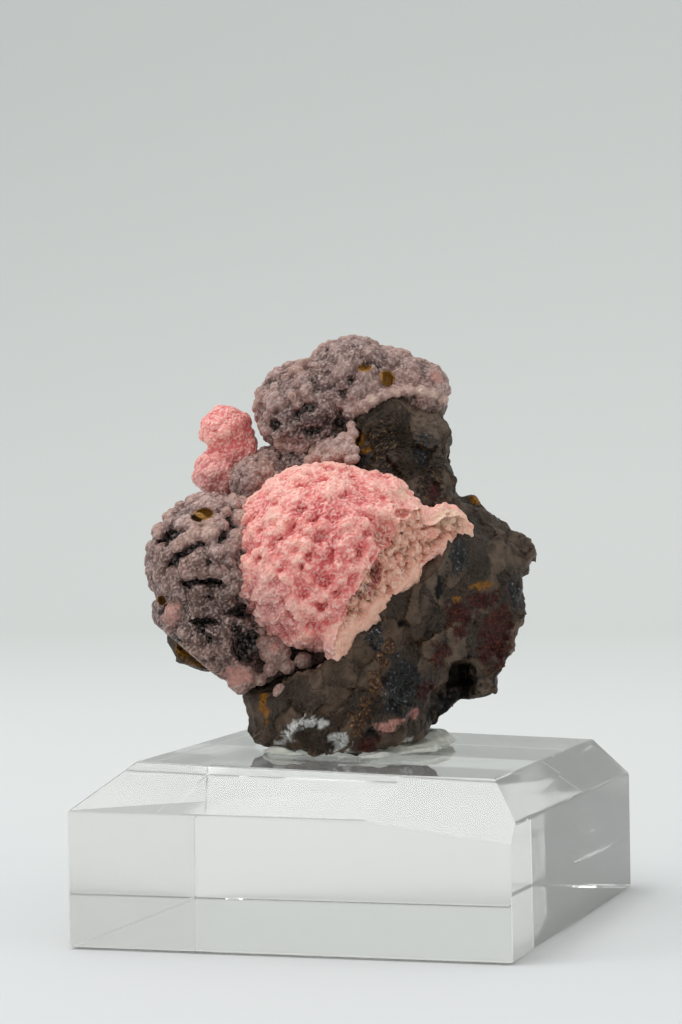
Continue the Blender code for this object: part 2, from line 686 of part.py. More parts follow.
def main():
    clear_scene()
    acrylic = make_material("clear_acrylic")
    putty = make_material("mineral_tack")
    goethite = make_material("goethite")
    pink = make_material("pink_rhodochrosite")
    mauve = make_material("mauve_rhodochrosite")

    make_block(acrylic)
    # Each piece is cut clear of the ones before it.
    cutters = [make_rock(goethite)]
    for make, material in (
        (make_pink_druse, pink), (make_left_druse, mauve), (make_top_druse, mauve),
        (make_knob, pink), (make_middle_druse, mauve), (make_beads, mauve),
    ):
        cutters.append(make(material, cutters))
    make_tack(putty, cutters[:1])
    for cutter in cutters:
        bpy.data.objects.remove(cutter, do_unlink=True)


if __name__ == "__main__":
    main()
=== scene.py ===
# %% [markdown]
# # A rhodochrosite specimen on its display block
# Rhodochrosite is a pink manganese carbonate that grows as crusts of tiny crystals on dark
# goethite. This lesson dresses the measured solids of one such specimen: each crust gets its
# beads and its frost, the rock gets its silky fibres, and the block its polish. The solids of
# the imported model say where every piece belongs, and nothing here moves them.
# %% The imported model
import math
import random

import bpy
import numpy as np
from mathutils import Matrix, Vector, kdtree, noise


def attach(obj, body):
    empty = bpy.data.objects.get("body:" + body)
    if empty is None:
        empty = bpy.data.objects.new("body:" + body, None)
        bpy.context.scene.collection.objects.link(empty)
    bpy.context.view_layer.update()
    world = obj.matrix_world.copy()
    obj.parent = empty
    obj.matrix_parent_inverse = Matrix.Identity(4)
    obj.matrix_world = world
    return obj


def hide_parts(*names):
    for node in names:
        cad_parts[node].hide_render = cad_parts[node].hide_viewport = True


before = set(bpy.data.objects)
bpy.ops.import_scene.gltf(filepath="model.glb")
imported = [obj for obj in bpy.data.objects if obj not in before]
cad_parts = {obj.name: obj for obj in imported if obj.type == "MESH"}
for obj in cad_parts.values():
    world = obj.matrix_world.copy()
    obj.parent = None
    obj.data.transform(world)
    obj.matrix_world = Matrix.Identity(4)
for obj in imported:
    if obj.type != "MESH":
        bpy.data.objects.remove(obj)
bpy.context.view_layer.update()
print("solids:", sorted(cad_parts))

# %% [markdown]
# ## The specimen's own frame
# The specimen is turned on its block. Its sizes are easier to read in its own frame: across,
# back and up, in millimetres, from the middle of the block's underside. One function turns such
# a place into a place of the scene, and another turns a mesh's points back into it.
# %% Places in millimetres
MM = 0.001
TURN = math.radians(17.5)
MIDDLE = Vector((0.95, -0.95, 0.0))
TURNED = Matrix.Rotation(TURN, 4, "Z")


def place(across, back, up):
    """A place of the specimen's own frame, in millimetres, as a place of the scene in metres."""
    return (TURNED @ Vector((across, back, up)) - MIDDLE) * MM


def heading(across, back, up):
    """A direction of the specimen's own frame as a direction of the scene."""
    return (TURNED @ Vector((across, back, up))).normalized()


def points_of(item):
    """The points of a mesh in the specimen's own frame, in millimetres."""
    flat = np.empty(len(item.data.vertices) * 3)
    item.data.vertices.foreach_get("co", flat)
    spots = flat.reshape(-1, 3) / MM + np.array(MIDDLE)
    return spots @ np.array(TURNED.to_3x3())


def move_points(item, spots):
    """Puts the points of a mesh at places of the specimen's own frame."""
    flat = (spots @ np.array(TURNED.to_3x3()).T - np.array(MIDDLE)) * MM
    item.data.vertices.foreach_set("co", flat.ravel())
    item.data.update()


print("the block's front left corner is at", place(-32.0, -35.2, 0.0))

# %% [markdown]
# ## The camera
# The photograph is a portrait with a long lens, a little off centre, so the camera gets a small
# sideways shift. It looks past the block's right corner, almost level.
# %% The camera
PHOTO_HEIGHT = 1024
FOCAL_PIXELS = 2415.0
SHIFT_PIXELS = -60.0
VIEW_TURN = math.radians(17.5)
VIEW_RISE = math.radians(0.21)
VIEW_LEAN = math.radians(-0.93)
VIEW_DISTANCE = 0.3636
VIEW_CENTRE = (0.0066, 0.0604)
SENSOR_MM = 36.0
NEAREST = 0.01

right = Vector((math.cos(VIEW_TURN), math.sin(VIEW_TURN), 0.0))
towards = Vector((
    math.sin(VIEW_TURN) * math.cos(VIEW_RISE),
    -math.cos(VIEW_TURN) * math.cos(VIEW_RISE),
    math.sin(VIEW_RISE),
))
upward = towards.cross(right)
leaned_right = right * math.cos(VIEW_LEAN) + upward * math.sin(VIEW_LEAN)
leaned_up = upward * math.cos(VIEW_LEAN) - right * math.sin(VIEW_LEAN)
view_spot = towards * VIEW_DISTANCE + right * VIEW_CENTRE[0] + Vector((0, 0, VIEW_CENTRE[1]))

bpy.ops.object.camera_add()
camera = bpy.context.object
camera.name = "camera"
camera.data.sensor_width = SENSOR_MM
camera.data.sensor_fit = "AUTO"
camera.data.lens = FOCAL_PIXELS / PHOTO_HEIGHT * SENSOR_MM
camera.data.shift_x = SHIFT_PIXELS / PHOTO_HEIGHT
camera.data.clip_start = NEAREST
turned_view = Matrix((leaned_right, leaned_up, towards)).transposed().to_4x4()
turned_view.translation = view_spot - MIDDLE * MM
camera.matrix_world = turned_view
bpy.context.scene.camera = camera
print("lens", round(camera.data.lens, 1), "mm")

# %% [markdown]
# ## Working by hand in code
# An operator acts on what is selected, so each step starts by choosing one object. A modifier is
# added, set and applied in one go, which keeps the pieces free of live modifiers.
# %% Choosing and modifying
MERGE_WITHIN = 0.00001


def choose(*items):
    """Selects these objects and no others, with the last one active."""
    bpy.ops.object.select_all(action="DESELECT")
    for item in items:
        item.select_set(True)
    bpy.context.view_layer.objects.active = items[-1]


def finish_with(item, kind, **settings):
    """Adds one modifier with its settings and applies it."""
    choose(item)
    bpy.ops.object.modifier_add(type=kind)
    step = item.modifiers[-1]
    for name, value in settings.items():
        setattr(step, name, value)
    bpy.ops.object.modifier_apply(modifier=step.name)


def one_skin(item, voxel):
    """Joins all that overlaps in a piece into one closed skin of small even faces."""
    finish_with(item, "REMESH", mode="VOXEL", voxel_size=voxel * MM)


def slice_off(item, point, normal):
    """Cuts off what lies past a plane and closes the cut."""
    choose(item)
    bpy.ops.object.mode_set(mode="EDIT")
    bpy.ops.mesh.select_all(action="SELECT")
    bpy.ops.mesh.bisect(
        plane_co=place(*point), plane_no=heading(*normal), use_fill=True, clear_outer=True,
    )
    bpy.ops.object.mode_set(mode="OBJECT")


def ball(name, centre, radii, splits=4):
    """One ball, stretched to its radii along the specimen's own axes."""
    bpy.ops.object.select_all(action="DESELECT")
    bpy.ops.mesh.primitive_ico_sphere_add(subdivisions=splits, radius=MM)
    made = bpy.context.object
    made.name = name
    made.data.transform(
        Matrix.Translation(place(*centre)) @ TURNED @ Matrix.Diagonal((*radii, 1.0))
    )
    return made


def join(name, items):
    """Joins objects into one, which keeps the given name."""
    choose(*items)
    bpy.ops.object.join()
    joined = bpy.context.object
    joined.name = name
    joined.data.name = name
    return joined


def merged_copy(node, name):
    """A copy of one solid with its doubled points merged and no material."""
    choose(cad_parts[node])
    bpy.ops.object.duplicate()
    made = bpy.context.object
    made.name = name
    made.data.materials.clear()
    bpy.ops.object.mode_set(mode="EDIT")
    bpy.ops.mesh.select_all(action="SELECT")
    bpy.ops.mesh.remove_doubles(threshold=MERGE_WITHIN)
    bpy.ops.object.mode_set(mode="OBJECT")
    return made


def hollow_out(item, hollows):
    """Cuts ball-shaped hollows, each a place and its radii, out of a piece."""
    cutter = join("hollows", [ball("hollow", spot, radii, 3) for spot, radii in hollows])
    finish_with(item, "BOOLEAN", operation="DIFFERENCE", solver="MANIFOLD", object=cutter)
    item.data.materials.clear()
    bpy.data.objects.remove(cutter, do_unlink=True)


print("solids to dress:", len(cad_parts))

# %% [markdown]
# ## One bead, many copies
# A crust is a crowd of round beads. One bead is made, dented a little so that its copies don't
# look like balls, and then copied: every copy has its own mesh, size and turn.
# %% The bead
BEAD_DENT = 0.10
DENTS_PER_BEAD = 1.7
UNEVENNESS = 1.1

bpy.ops.object.select_all(action="DESELECT")
bpy.ops.mesh.primitive_ico_sphere_add(subdivisions=2, radius=1.0)
bead = bpy.context.object
bead.name = "bead"
for vertex in bead.data.vertices:
    vertex.co *= 1.0 + BEAD_DENT * noise.noise(vertex.co * DENTS_PER_BEAD)
print("one bead has", len(bead.data.polygons), "faces")


def bead_copies(spots, seed):
    """A copy of the bead at every (place, radius) given in the specimen's own frame."""
    picker = random.Random(seed)
    made = []
    for spot, radius in spots:
        item = bpy.data.objects.new("bead_copy", bead.data.copy())
        bpy.context.scene.collection.objects.link(item)
        turn = Matrix.Rotation(picker.uniform(0, math.tau), 4, (picker.random(), 0.5, 0.8))
        item.data.transform(
            Matrix.Translation(place(*spot)) @ turn @ Matrix.Scale(radius * MM, 4)
        )
        made.append(item)
    return made


def spread(count, seed):
    """Evenly spread directions on a ball, each with a little unevenness."""
    picker = random.Random(seed)
    golden = math.pi * (3.0 - math.sqrt(5.0))
    for index in range(count):
        height = 1.0 - 2.0 * (index + 0.5) / count
        ring = math.sqrt(1.0 - height * height)
        way = Vector((math.cos(golden * index) * ring, math.sin(golden * index) * ring, height))
        stray = Vector([picker.uniform(-1, 1) for _ in range(3)])
        way += stray * UNEVENNESS / math.sqrt(count)
        yield way.normalized()


# %% [markdown]
# ## Lobes, beads and how far a point is sunk
# Each crust follows a few round lobes, the same as in its solid. Beads sit just inside the
# lobe's skin, some higher and some lower. How deep a point lies under that skin is kept for
# every point, because colour follows it: tips are pale, and the gullies are darkened with painted
# shade.
# %% Lobes
BEAD_CROWD = 4.2
WAVE_SIZE = 3.1
HIGHEST_WAVE = 0.25
SEATED = 0.9
ROW_STEP = 0.9
ROW_STRAY = 0.5
ROW_SEAT = 0.75


def radii_of(size):
    """Three radii from one number or three."""
    return (size, size, size) if isinstance(size, (int, float)) else size


def beads_on_lobe(centre, size, beads, seed, relief, keep=None, flat=1.0):
    """Places for beads on one lobe: (place, radius) pairs, uneven by the relief in millimetres.

    The relief comes in waves, which lie down as level rows when flat is below one.
    """
    radii = Vector(radii_of(size))
    picker = random.Random(seed)
    small, large = beads
    middle = (small + large) / 2
    count = int(BEAD_CROWD * (sum(radii) / 3 / middle) ** 2)
    for way in spread(count, seed):
        radius = picker.uniform(small, large)
        spot = Vector(centre) + Vector([way[i] * radii[i] for i in range(3)])
        wave = noise.noise(Vector((spot.x, spot.y, spot.z / flat)) / WAVE_SIZE) * relief
        inner = spot - way * (radius * SEATED - min(wave, HIGHEST_WAVE))
        if keep is None or keep(inner):
            yield tuple(inner), radius


def beads_in_row(first, last, radius, lobes, seed):
    """Beads side by side from one place to another, seated in the skin of the nearest lobe."""
    picker = random.Random(seed)
    count = max(2, round((Vector(last) - Vector(first)).length / (radius * ROW_STEP)))
    for index in range(count):
        spot = Vector(first).lerp(Vector(last), index / (count - 1))
        spot += Vector([picker.uniform(-1, 1) for _ in range(3)]) * radius * ROW_STRAY
        steps = [(((spot - Vector(centre)).length / sum(radii_of(size)) * 3), centre, size)
                 for centre, size in lobes]
        share, centre, size = min(steps)
        seat = 1.0 - radius * ROW_SEAT / (sum(radii_of(size)) / 3)
        spot = Vector(centre) + (spot - Vector(centre)) / share * seat
        yield tuple(spot), radius * picker.uniform(0.7, 1.15)


def sunk(spots, lobes):
    """How far each point lies under the common skin of the lobes, in millimetres."""
    most = np.full(len(spots), -99.0)
    for centre, size in lobes:
        radii = np.array(radii_of(size), float)
        away = (spots - np.array(centre)) / radii
        distance = np.linalg.norm(away, axis=1)
        most = np.maximum(most, (1.0 - distance) * radii.mean())
    return most


middle_depth = sunk(np.zeros((1, 3)), [((0.0, 0.0, 0.0), 5.0)])[0]
print("the middle of a 5 mm lobe is sunk", middle_depth, "mm")

# %% [markdown]
# ## Values that a finish can read
# Colours and dirt follow the shape. So each point of a piece stores a few numbers, such as how
# much it belongs to an ochre patch, and the finish reads them by name. The patches get ragged
# edges from smooth noise.
# %% Stored values and patches
def keep_value(item, name, values):
    """Stores one number per point under a name that a material can read."""
    layer = item.data.attributes.new(name, "FLOAT", "POINT")
    layer.data.foreach_set("value", np.asarray(values, np.float32))


def keep_way(item, name, ways):
    """Stores one direction per point under a name that a material can read."""
    layer = item.data.attributes.new(name, "FLOAT_VECTOR", "POINT")
    layer.data.foreach_set("vector", np.asarray(ways, np.float32).ravel())


def normals_of(item):
    """The outward direction at each point, in the specimen's own frame."""
    flat = np.empty(len(item.data.vertices) * 3)
    item.data.vertices.foreach_get("normal", flat)
    return flat.reshape(-1, 3) @ np.array(TURNED.to_3x3())


def wander(spots, size):
    """Smooth noise at each point, from about -1 to 1, with waves of a size in millimetres."""
    return np.array([noise.noise(Vector(spot)) for spot in spots / size])


def blots(spots, patches, ragged, sharp=3.0):
    """How much each point belongs to ragged patches: 0 outside, and their strength inside.

    A patch is a place, its radii and, if it isn't 1, its strength.
    """
    most = np.zeros(len(spots))
    for centre, size, *strength in patches:
        away = (spots - np.array(centre)) / np.array(radii_of(size), float)
        inside = (1.0 - np.linalg.norm(away, axis=1) + ragged) * sharp
        most = np.maximum(most, np.clip(inside, 0.0, 1.0) * (strength or [1.0])[0])
    return most


print("smooth noise at one place:", round(wander(np.array([[1.0, 2.0, 3.0]]), 2.0)[0], 2))

# %% [markdown]
# ## Frost
# The beads are covered with crystals of about half a millimetre. Each crystal is one cell of a
# cell pattern, and gets a flat tip that leans its own way. With flat shading every tip catches
# the light by itself, which is what makes such a crust glitter.
# %% Crystal tips
FROST_SIZE = 0.5
TIP_TOP = 0.45
TIP_SLOPE = 0.6
TIP_LEAN = 1.7
LOWEST_TIP = -0.7
HIGHEST_TIP = 0.8
SHUFFLE = 7.3
HALF = Vector((0.5, 0.5, 0.5))


def frost(item, size, height, share=1.0):
    """Grows leaning crystal tips out of a skin, and stores how high each point stands."""
    spots = points_of(item)
    rise = np.empty(len(spots))
    for index, spot in enumerate(spots):
        scaled = Vector(spot / size)
        far, centres = noise.voronoi(scaled)
        lean = noise.cell_vector(centres[0] * SHUFFLE) - HALF
        rise[index] = TIP_TOP - TIP_SLOPE * far[0] + lean.dot(scaled - centres[0]) * TIP_LEAN
    rise = np.clip(rise, LOWEST_TIP, HIGHEST_TIP) * share
    move_points(item, spots + normals_of(item) * (rise * height)[:, None])
    keep_value(item, "tip", rise + 0.5)


print("a crystal is about", FROST_SIZE, "mm across")

# %% [markdown]
# ## Nodes and colours
# Colours are written as a painter would pick them, as hex values, and turned linear by one
# function. One function fills in a node: its inputs may be plain values, hex colours or what
# comes out of other nodes. One function adds any node with it.
# %% Colours and nodes
def colour(code):
    """A linear colour with alpha from a hex value such as d98a82."""
    parts = [int(code[i:i + 2], 16) / 255 for i in (0, 2, 4)]
    linear = [p / 12.92 if p <= 0.04045 else ((p + 0.055) / 1.055) ** 2.4 for p in parts]
    return (*linear, 1.0)


def fill(material, node, inputs):
    """Sets inputs by name, or by number as _0, _1 and so on."""
    for name, value in inputs.items():
        socket = node.inputs[int(name[1:]) if name[1:].isdigit() else name.replace("_", " ")]
        if isinstance(value, bpy.types.NodeSocket):
            material.node_tree.links.new(value, socket)
        else:
            socket.default_value = colour(value) if isinstance(value, str) else value


def add(material, kind, settings=(), take=0, **inputs):
    """Adds a node with its settings and inputs, and gives back one of its outputs."""
    node = material.node_tree.nodes.new("ShaderNode" + kind)
    for name, value in dict(settings).items():
        if name == "stops":
            bar = node.color_ramp.elements
            bar[0].position, bar[1].position = value[0][0], value[-1][0]
            bar[0].color, bar[1].color = colour(value[0][1]), colour(value[-1][1])
            for position, code in value[1:-1]:
                bar.new(position).color = colour(code)
        else:
            setattr(node, name, value)
    fill(material, node, inputs)
    return node.outputs[take]


def new_material(name):
    """An empty Principled material."""
    material = bpy.data.materials.new(name)
    material.use_nodes = True
    return material


COLOUR_MIX = {"data_type": "RGBA"}
MIXED = 2
FACTOR = 2
OBJECT = 3
METRES_TO_MM = (1000.0, 1000.0, 1000.0)
print("salmon d98a82 in linear light:", [round(part, 3) for part in colour("d98a82")])

# %% [markdown]
# ## Pink rhodochrosite
# Clear pink crystals look whitish at their frosted tips and deep rose where light has gone
# through more of them, down in the gullies. So the colour follows how far a point is sunk, and
# light is let a little way in under the skin. The deep rose is partly the crystal's own colour and
# partly painted shade, dark red at the bottom of the gullies, and the whitish tips are a painted
# highlight. The mineral bends light about as much as a gem,
# with an IOR near 1.6, and its frosted faces are half rough. Mottles of 0.8 mm keep the beads
# from looking painted, and a pattern of 0.4 mm crystals makes them sparkle.
# %% Pink rhodochrosite, grown as crystals
PINK_MOTTLES_PER_MM = 1.3
PINK_CRYSTALS_PER_MM = 2.6

pink = new_material("pink_rhodochrosite")
where = add(pink, "TexCoord", take=OBJECT)
mm = add(pink, "Mapping", Vector=where, Scale=METRES_TO_MM)
sunk_in = add(pink, "Attribute", {"attribute_name": "sunk"}, FACTOR)
rosy = add(pink, "Attribute", {"attribute_name": "rosy"}, FACTOR)
dusky = add(pink, "Attribute", {"attribute_name": "dusky"}, FACTOR)
broken = add(pink, "Attribute", {"attribute_name": "broken"}, FACTOR)
cream = add(pink, "Attribute", {"attribute_name": "cream"}, FACTOR)
tip = add(pink, "Attribute", {"attribute_name": "tip"}, FACTOR)
fine = add(pink, "TexNoise", Vector=mm, Scale=PINK_MOTTLES_PER_MM, Detail=3.0, Roughness=0.7)
wavy = add(pink, "Math", {"operation": "MULTIPLY_ADD"}, _0=fine, _1=1.1, _2=sunk_in)
deeper = add(pink, "Math", {"operation": "MULTIPLY_ADD"}, _0=rosy, _1=0.55, _2=wavy)
depth = add(pink, "MapRange", Value=deeper, From_Min=0.35, From_Max=3.5)
# From pale tips to dark red gullies: the rose is partly the crystal's colour, and the darkest end
# is painted shade.
body = add(pink, "ValToRGB", {"stops": (
    (0.0, "f4b2a3"), (0.16, "eb938a"), (0.34, "dc6a68"), (0.52, "c8484b"), (0.76, "9c2c36"),
    (1.0, "661820"),
)}, Fac=depth)
greyer = add(pink, "Mix", COLOUR_MIX, MIXED, _0=0.5, _6=body, _7="a87a78")
body = add(pink, "Mix", COLOUR_MIX, MIXED, _0=dusky, _6=body, _7=greyer)
# The crystal tips are whitened: a painted highlight.
tip_highlight = add(pink, "MapRange", Value=tip, From_Min=0.55, From_Max=1.15, To_Max=0.75)
body = add(pink, "Mix", COLOUR_MIX, MIXED, _0=tip_highlight, _6=body, _7="f8d3c6")
# Broken grains get darker the deeper they sink: painted shade in the pits.
grainy = add(pink, "ValToRGB", {"stops": (
    (0.0, "f2c6b1"), (0.25, "e8ae96"), (0.45, "d3917a"), (0.65, "a4674d"), (0.82, "623429"),
    (1.0, "2a110c"),
)}, Fac=depth)
grainy = add(pink, "Mix", COLOUR_MIX, MIXED, _0=tip_highlight, _6=grainy, _7="f3ddca")
body = add(pink, "Mix", COLOUR_MIX, MIXED, _0=broken, _6=body, _7=grainy)
creamy = add(pink, "Mix", COLOUR_MIX, MIXED, _0=depth, _6="e9c6ac", _7="9c6f58")
body = add(pink, "Mix", COLOUR_MIX, MIXED, _0=cream, _6=body, _7=creamy)
glints = add(pink, "TexVoronoi", Vector=mm, Scale=PINK_CRYSTALS_PER_MM)
glitter = add(pink, "Bump", Height=glints, Strength=0.5, Distance=0.0002)
fill(pink, pink.node_tree.nodes["Principled BSDF"], {
    "Base Color": body, "Roughness": 0.32, "IOR": 1.6, "Normal": glitter,
    "Subsurface Weight": 0.3, "Subsurface Scale": 0.001, "Subsurface Radius": (1.0, 0.42, 0.36),
})
print("pink has", len(pink.node_tree.nodes), "nodes")

# %% [markdown]
# ## Mauve rhodochrosite
# The mauve crusts are the same mineral with dark goethite showing through: grey-mauve beads with
# a pale sparkle, which is a painted highlight on the crystal tips, nearly black between them with
# painted shade in the gaps, ochre where a bead has broken away, and a few peach and salmon
# patches. Clouds of about 7 mm lead from grey-mauve to brown-mauve.
# %% Mauve rhodochrosite, frosted over goethite
MAUVE_MOTTLES_PER_MM = 1.4
MAUVE_CLOUDS_PER_MM = 0.14
MAUVE_CRYSTALS_PER_MM = 2.8

mauve = new_material("mauve_rhodochrosite")
where = add(mauve, "TexCoord", take=OBJECT)
mm = add(mauve, "Mapping", Vector=where, Scale=METRES_TO_MM)
sunk_in = add(mauve, "Attribute", {"attribute_name": "sunk"}, FACTOR)
tip = add(mauve, "Attribute", {"attribute_name": "tip"}, FACTOR)
fine = add(mauve, "TexNoise", Vector=mm, Scale=MAUVE_MOTTLES_PER_MM, Detail=3.0, Roughness=0.7)
wavy = add(mauve, "Math", {"operation": "MULTIPLY_ADD"}, _0=fine, _1=0.8, _2=sunk_in)
depth = add(mauve, "MapRange", Value=wavy, From_Min=0.1, From_Max=2.3)
# Both ramps go nearly black between the beads: painted shade in the gaps.
grey = add(mauve, "ValToRGB", {"stops": (
    (0.0, "a98c84"), (0.25, "8e716c"), (0.5, "654d49"), (0.75, "2e201d"), (1.0, "0c0706"),
)}, Fac=depth)
brown = add(mauve, "ValToRGB", {"stops": (
    (0.0, "b08b7e"), (0.25, "936f64"), (0.5, "694b43"), (0.75, "33221d"), (1.0, "0e0807"),
)}, Fac=depth)
cloud = add(mauve, "TexNoise", Vector=mm, Scale=MAUVE_CLOUDS_PER_MM, Detail=2.0)
share = add(mauve, "MapRange", Value=cloud, From_Min=0.38, From_Max=0.62)
body = add(mauve, "Mix", COLOUR_MIX, MIXED, _0=share, _6=grey, _7=brown)
# The dark patches multiply the colour darker. The small ones are painted shade in slits, under the
# dome's front edge and in the saddle's dip; the wide ones darken whole crusts.
dark = add(mauve, "Attribute", {"attribute_name": "dark"}, FACTOR)
darker = add(mauve, "Mix", {"data_type": "RGBA", "blend_type": "MULTIPLY"}, MIXED,
             _0=1.0, _6=body, _7="8c807d")
body = add(mauve, "Mix", COLOUR_MIX, MIXED, _0=dark, _6=body, _7=darker)
# The crystal tips are whitened: a painted highlight.
tip_highlight = add(mauve, "MapRange", Value=tip, From_Min=0.6, From_Max=1.2, To_Max=0.65)
body = add(mauve, "Mix", COLOUR_MIX, MIXED, _0=tip_highlight, _6=body, _7="d0b8b0")
for name, shallow, deep in (
    ("pink", "dba496", "8d5a52"), ("pale", "e6cdbf", "9a7264"), ("ochre", "b07c22", "6a430c"),
):
    patch = add(mauve, "Attribute", {"attribute_name": name}, FACTOR)
    tone = add(mauve, "Mix", COLOUR_MIX, MIXED, _0=fine, _6=deep, _7=shallow)
    body = add(mauve, "Mix", COLOUR_MIX, MIXED, _0=patch, _6=body, _7=tone)
glints = add(mauve, "TexVoronoi", Vector=mm, Scale=MAUVE_CRYSTALS_PER_MM)
glitter = add(mauve, "Bump", Height=glints, Strength=0.5, Distance=0.0002)
fill(mauve, mauve.node_tree.nodes["Principled BSDF"], {
    "Base Color": body, "Roughness": 0.34, "IOR": 1.6, "Normal": glitter,
    "Specular IOR Level": 0.35,
    "Subsurface Weight": 0.08, "Subsurface Scale": 0.0008, "Subsurface Radius": (1.0, 0.6, 0.55),
})
print("mauve has", len(mauve.node_tree.nodes), "nodes")

# %% [markdown]
# ## Goethite
# Goethite grows as bundles of fibres that fan out from a point, and breaks along them into flat
# facets with a silky sheen on nearly black rock. That sheen is painted into the colour: lighter
# streaks along the fibres, the lighter of the facets' varying tones and the golden lines of the
# silky fans are painted sheen over the rock's own browns, and the black patches are painted shade.
# Each point stores its way from the nearest fan's centre, so that streaks and ridges run out from
# there, and the tone of its facet. Rusty, ochre and white crusts lie in patches. The rock is so
# dark that even a faint reflection would turn it grey, so the specular level is low.
# %% Goethite, broken along its fibres
FIBRES_ROUND = 34.0
SPOKES_ROUND = 15.0
GRIT_PER_MM = 2.4
WAY = 1

goethite = new_material("goethite")
where = add(goethite, "TexCoord", take=OBJECT)
mm = add(goethite, "Mapping", Vector=where, Scale=METRES_TO_MM)
fibre_way = add(goethite, "Attribute", {"attribute_name": "fibre"}, WAY)
fibres = add(goethite, "TexNoise", Vector=fibre_way, Scale=FIBRES_ROUND, Detail=4.0, Roughness=0.6)
spokes = add(
    goethite, "TexNoise", Vector=fibre_way, Scale=SPOKES_ROUND, Detail=5.0, Roughness=0.75,
)
fine = add(goethite, "TexNoise", Vector=mm, Scale=GRIT_PER_MM, Detail=4.0, Roughness=0.7)
facet = add(goethite, "Attribute", {"attribute_name": "facet"}, FACTOR)
# Each chip gets its own tone; the lighter tones are painted sheen on the facets.
tone = add(goethite, "ValToRGB", {"stops": (
    (0.0, "0a0706"), (0.22, "18120f"), (0.42, "30251c"), (0.56, "58473a"), (0.68, "201915"),
    (0.82, "625245"), (1.0, "15100e"),
)}, Fac=facet)
# Lighter streaks along the fibres: painted sheen.
fibre_sheen = add(goethite, "MapRange", Value=fibres, From_Min=0.35, From_Max=0.72, To_Max=0.5)
body = add(goethite, "Mix", COLOUR_MIX, MIXED, _0=fibre_sheen, _6=tone, _7="6e5b4a")
for name, driver, stops in (
    ("blue", fine, ((0.3, "0f0f0f"), (0.52, "232323"), (0.62, "4a4a4c"), (0.72, "b4b3b4"))),
    # The silky fans' golden lines: golden-brown fibres with painted sheen on them.
    ("silky", spokes, ((0.4, "0c0705"), (0.52, "1c120b"), (0.6, "57412b"), (0.69, "a98b61"))),
    ("pale", fibres, ((0.3, "4a3e35"), (0.55, "6d5c50"), (0.75, "9a8675"))),
    ("rust", fine, ((0.3, "140705"), (0.5, "32110a"), (0.62, "582518"), (0.76, "8c4c38"))),
    ("gold", fine, ((0.4, "241710"), (0.55, "4e3422"), (0.66, "a87a4c"), (0.74, "d9b184"))),
    ("ochre", fine, ((0.3, "3a2208"), (0.55, "8a5a12"), (0.75, "b58428"))),
    ("rosy", fine, ((0.3, "70443c"), (0.7, "d39c90"))),
    ("white", fine, ((0.32, "6d6c69"), (0.5, "b9b8b5"), (0.7, "e9e8e5"))),
    # Black patches: painted shade in the cleft and in cracks.
    ("black", fine, ((0.3, "050404"), (0.7, "0d0a09"))),
):
    patch = add(goethite, "Attribute", {"attribute_name": name}, FACTOR)
    tone = add(goethite, "ValToRGB", {"stops": stops}, Fac=driver)
    body = add(goethite, "Mix", COLOUR_MIX, MIXED, _0=patch, _6=body, _7=tone)
bump = add(goethite, "Bump", Height=fibres, Strength=0.6, Distance=0.0004)
rough = add(goethite, "MapRange", Value=fine, To_Min=0.26, To_Max=0.55)
fill(goethite, goethite.node_tree.nodes["Principled BSDF"], {
    "Base Color": body, "Roughness": rough, "IOR": 1.6, "Normal": bump,
    "Specular IOR Level": 0.15,
})
print("goethite has", len(goethite.node_tree.nodes), "nodes")
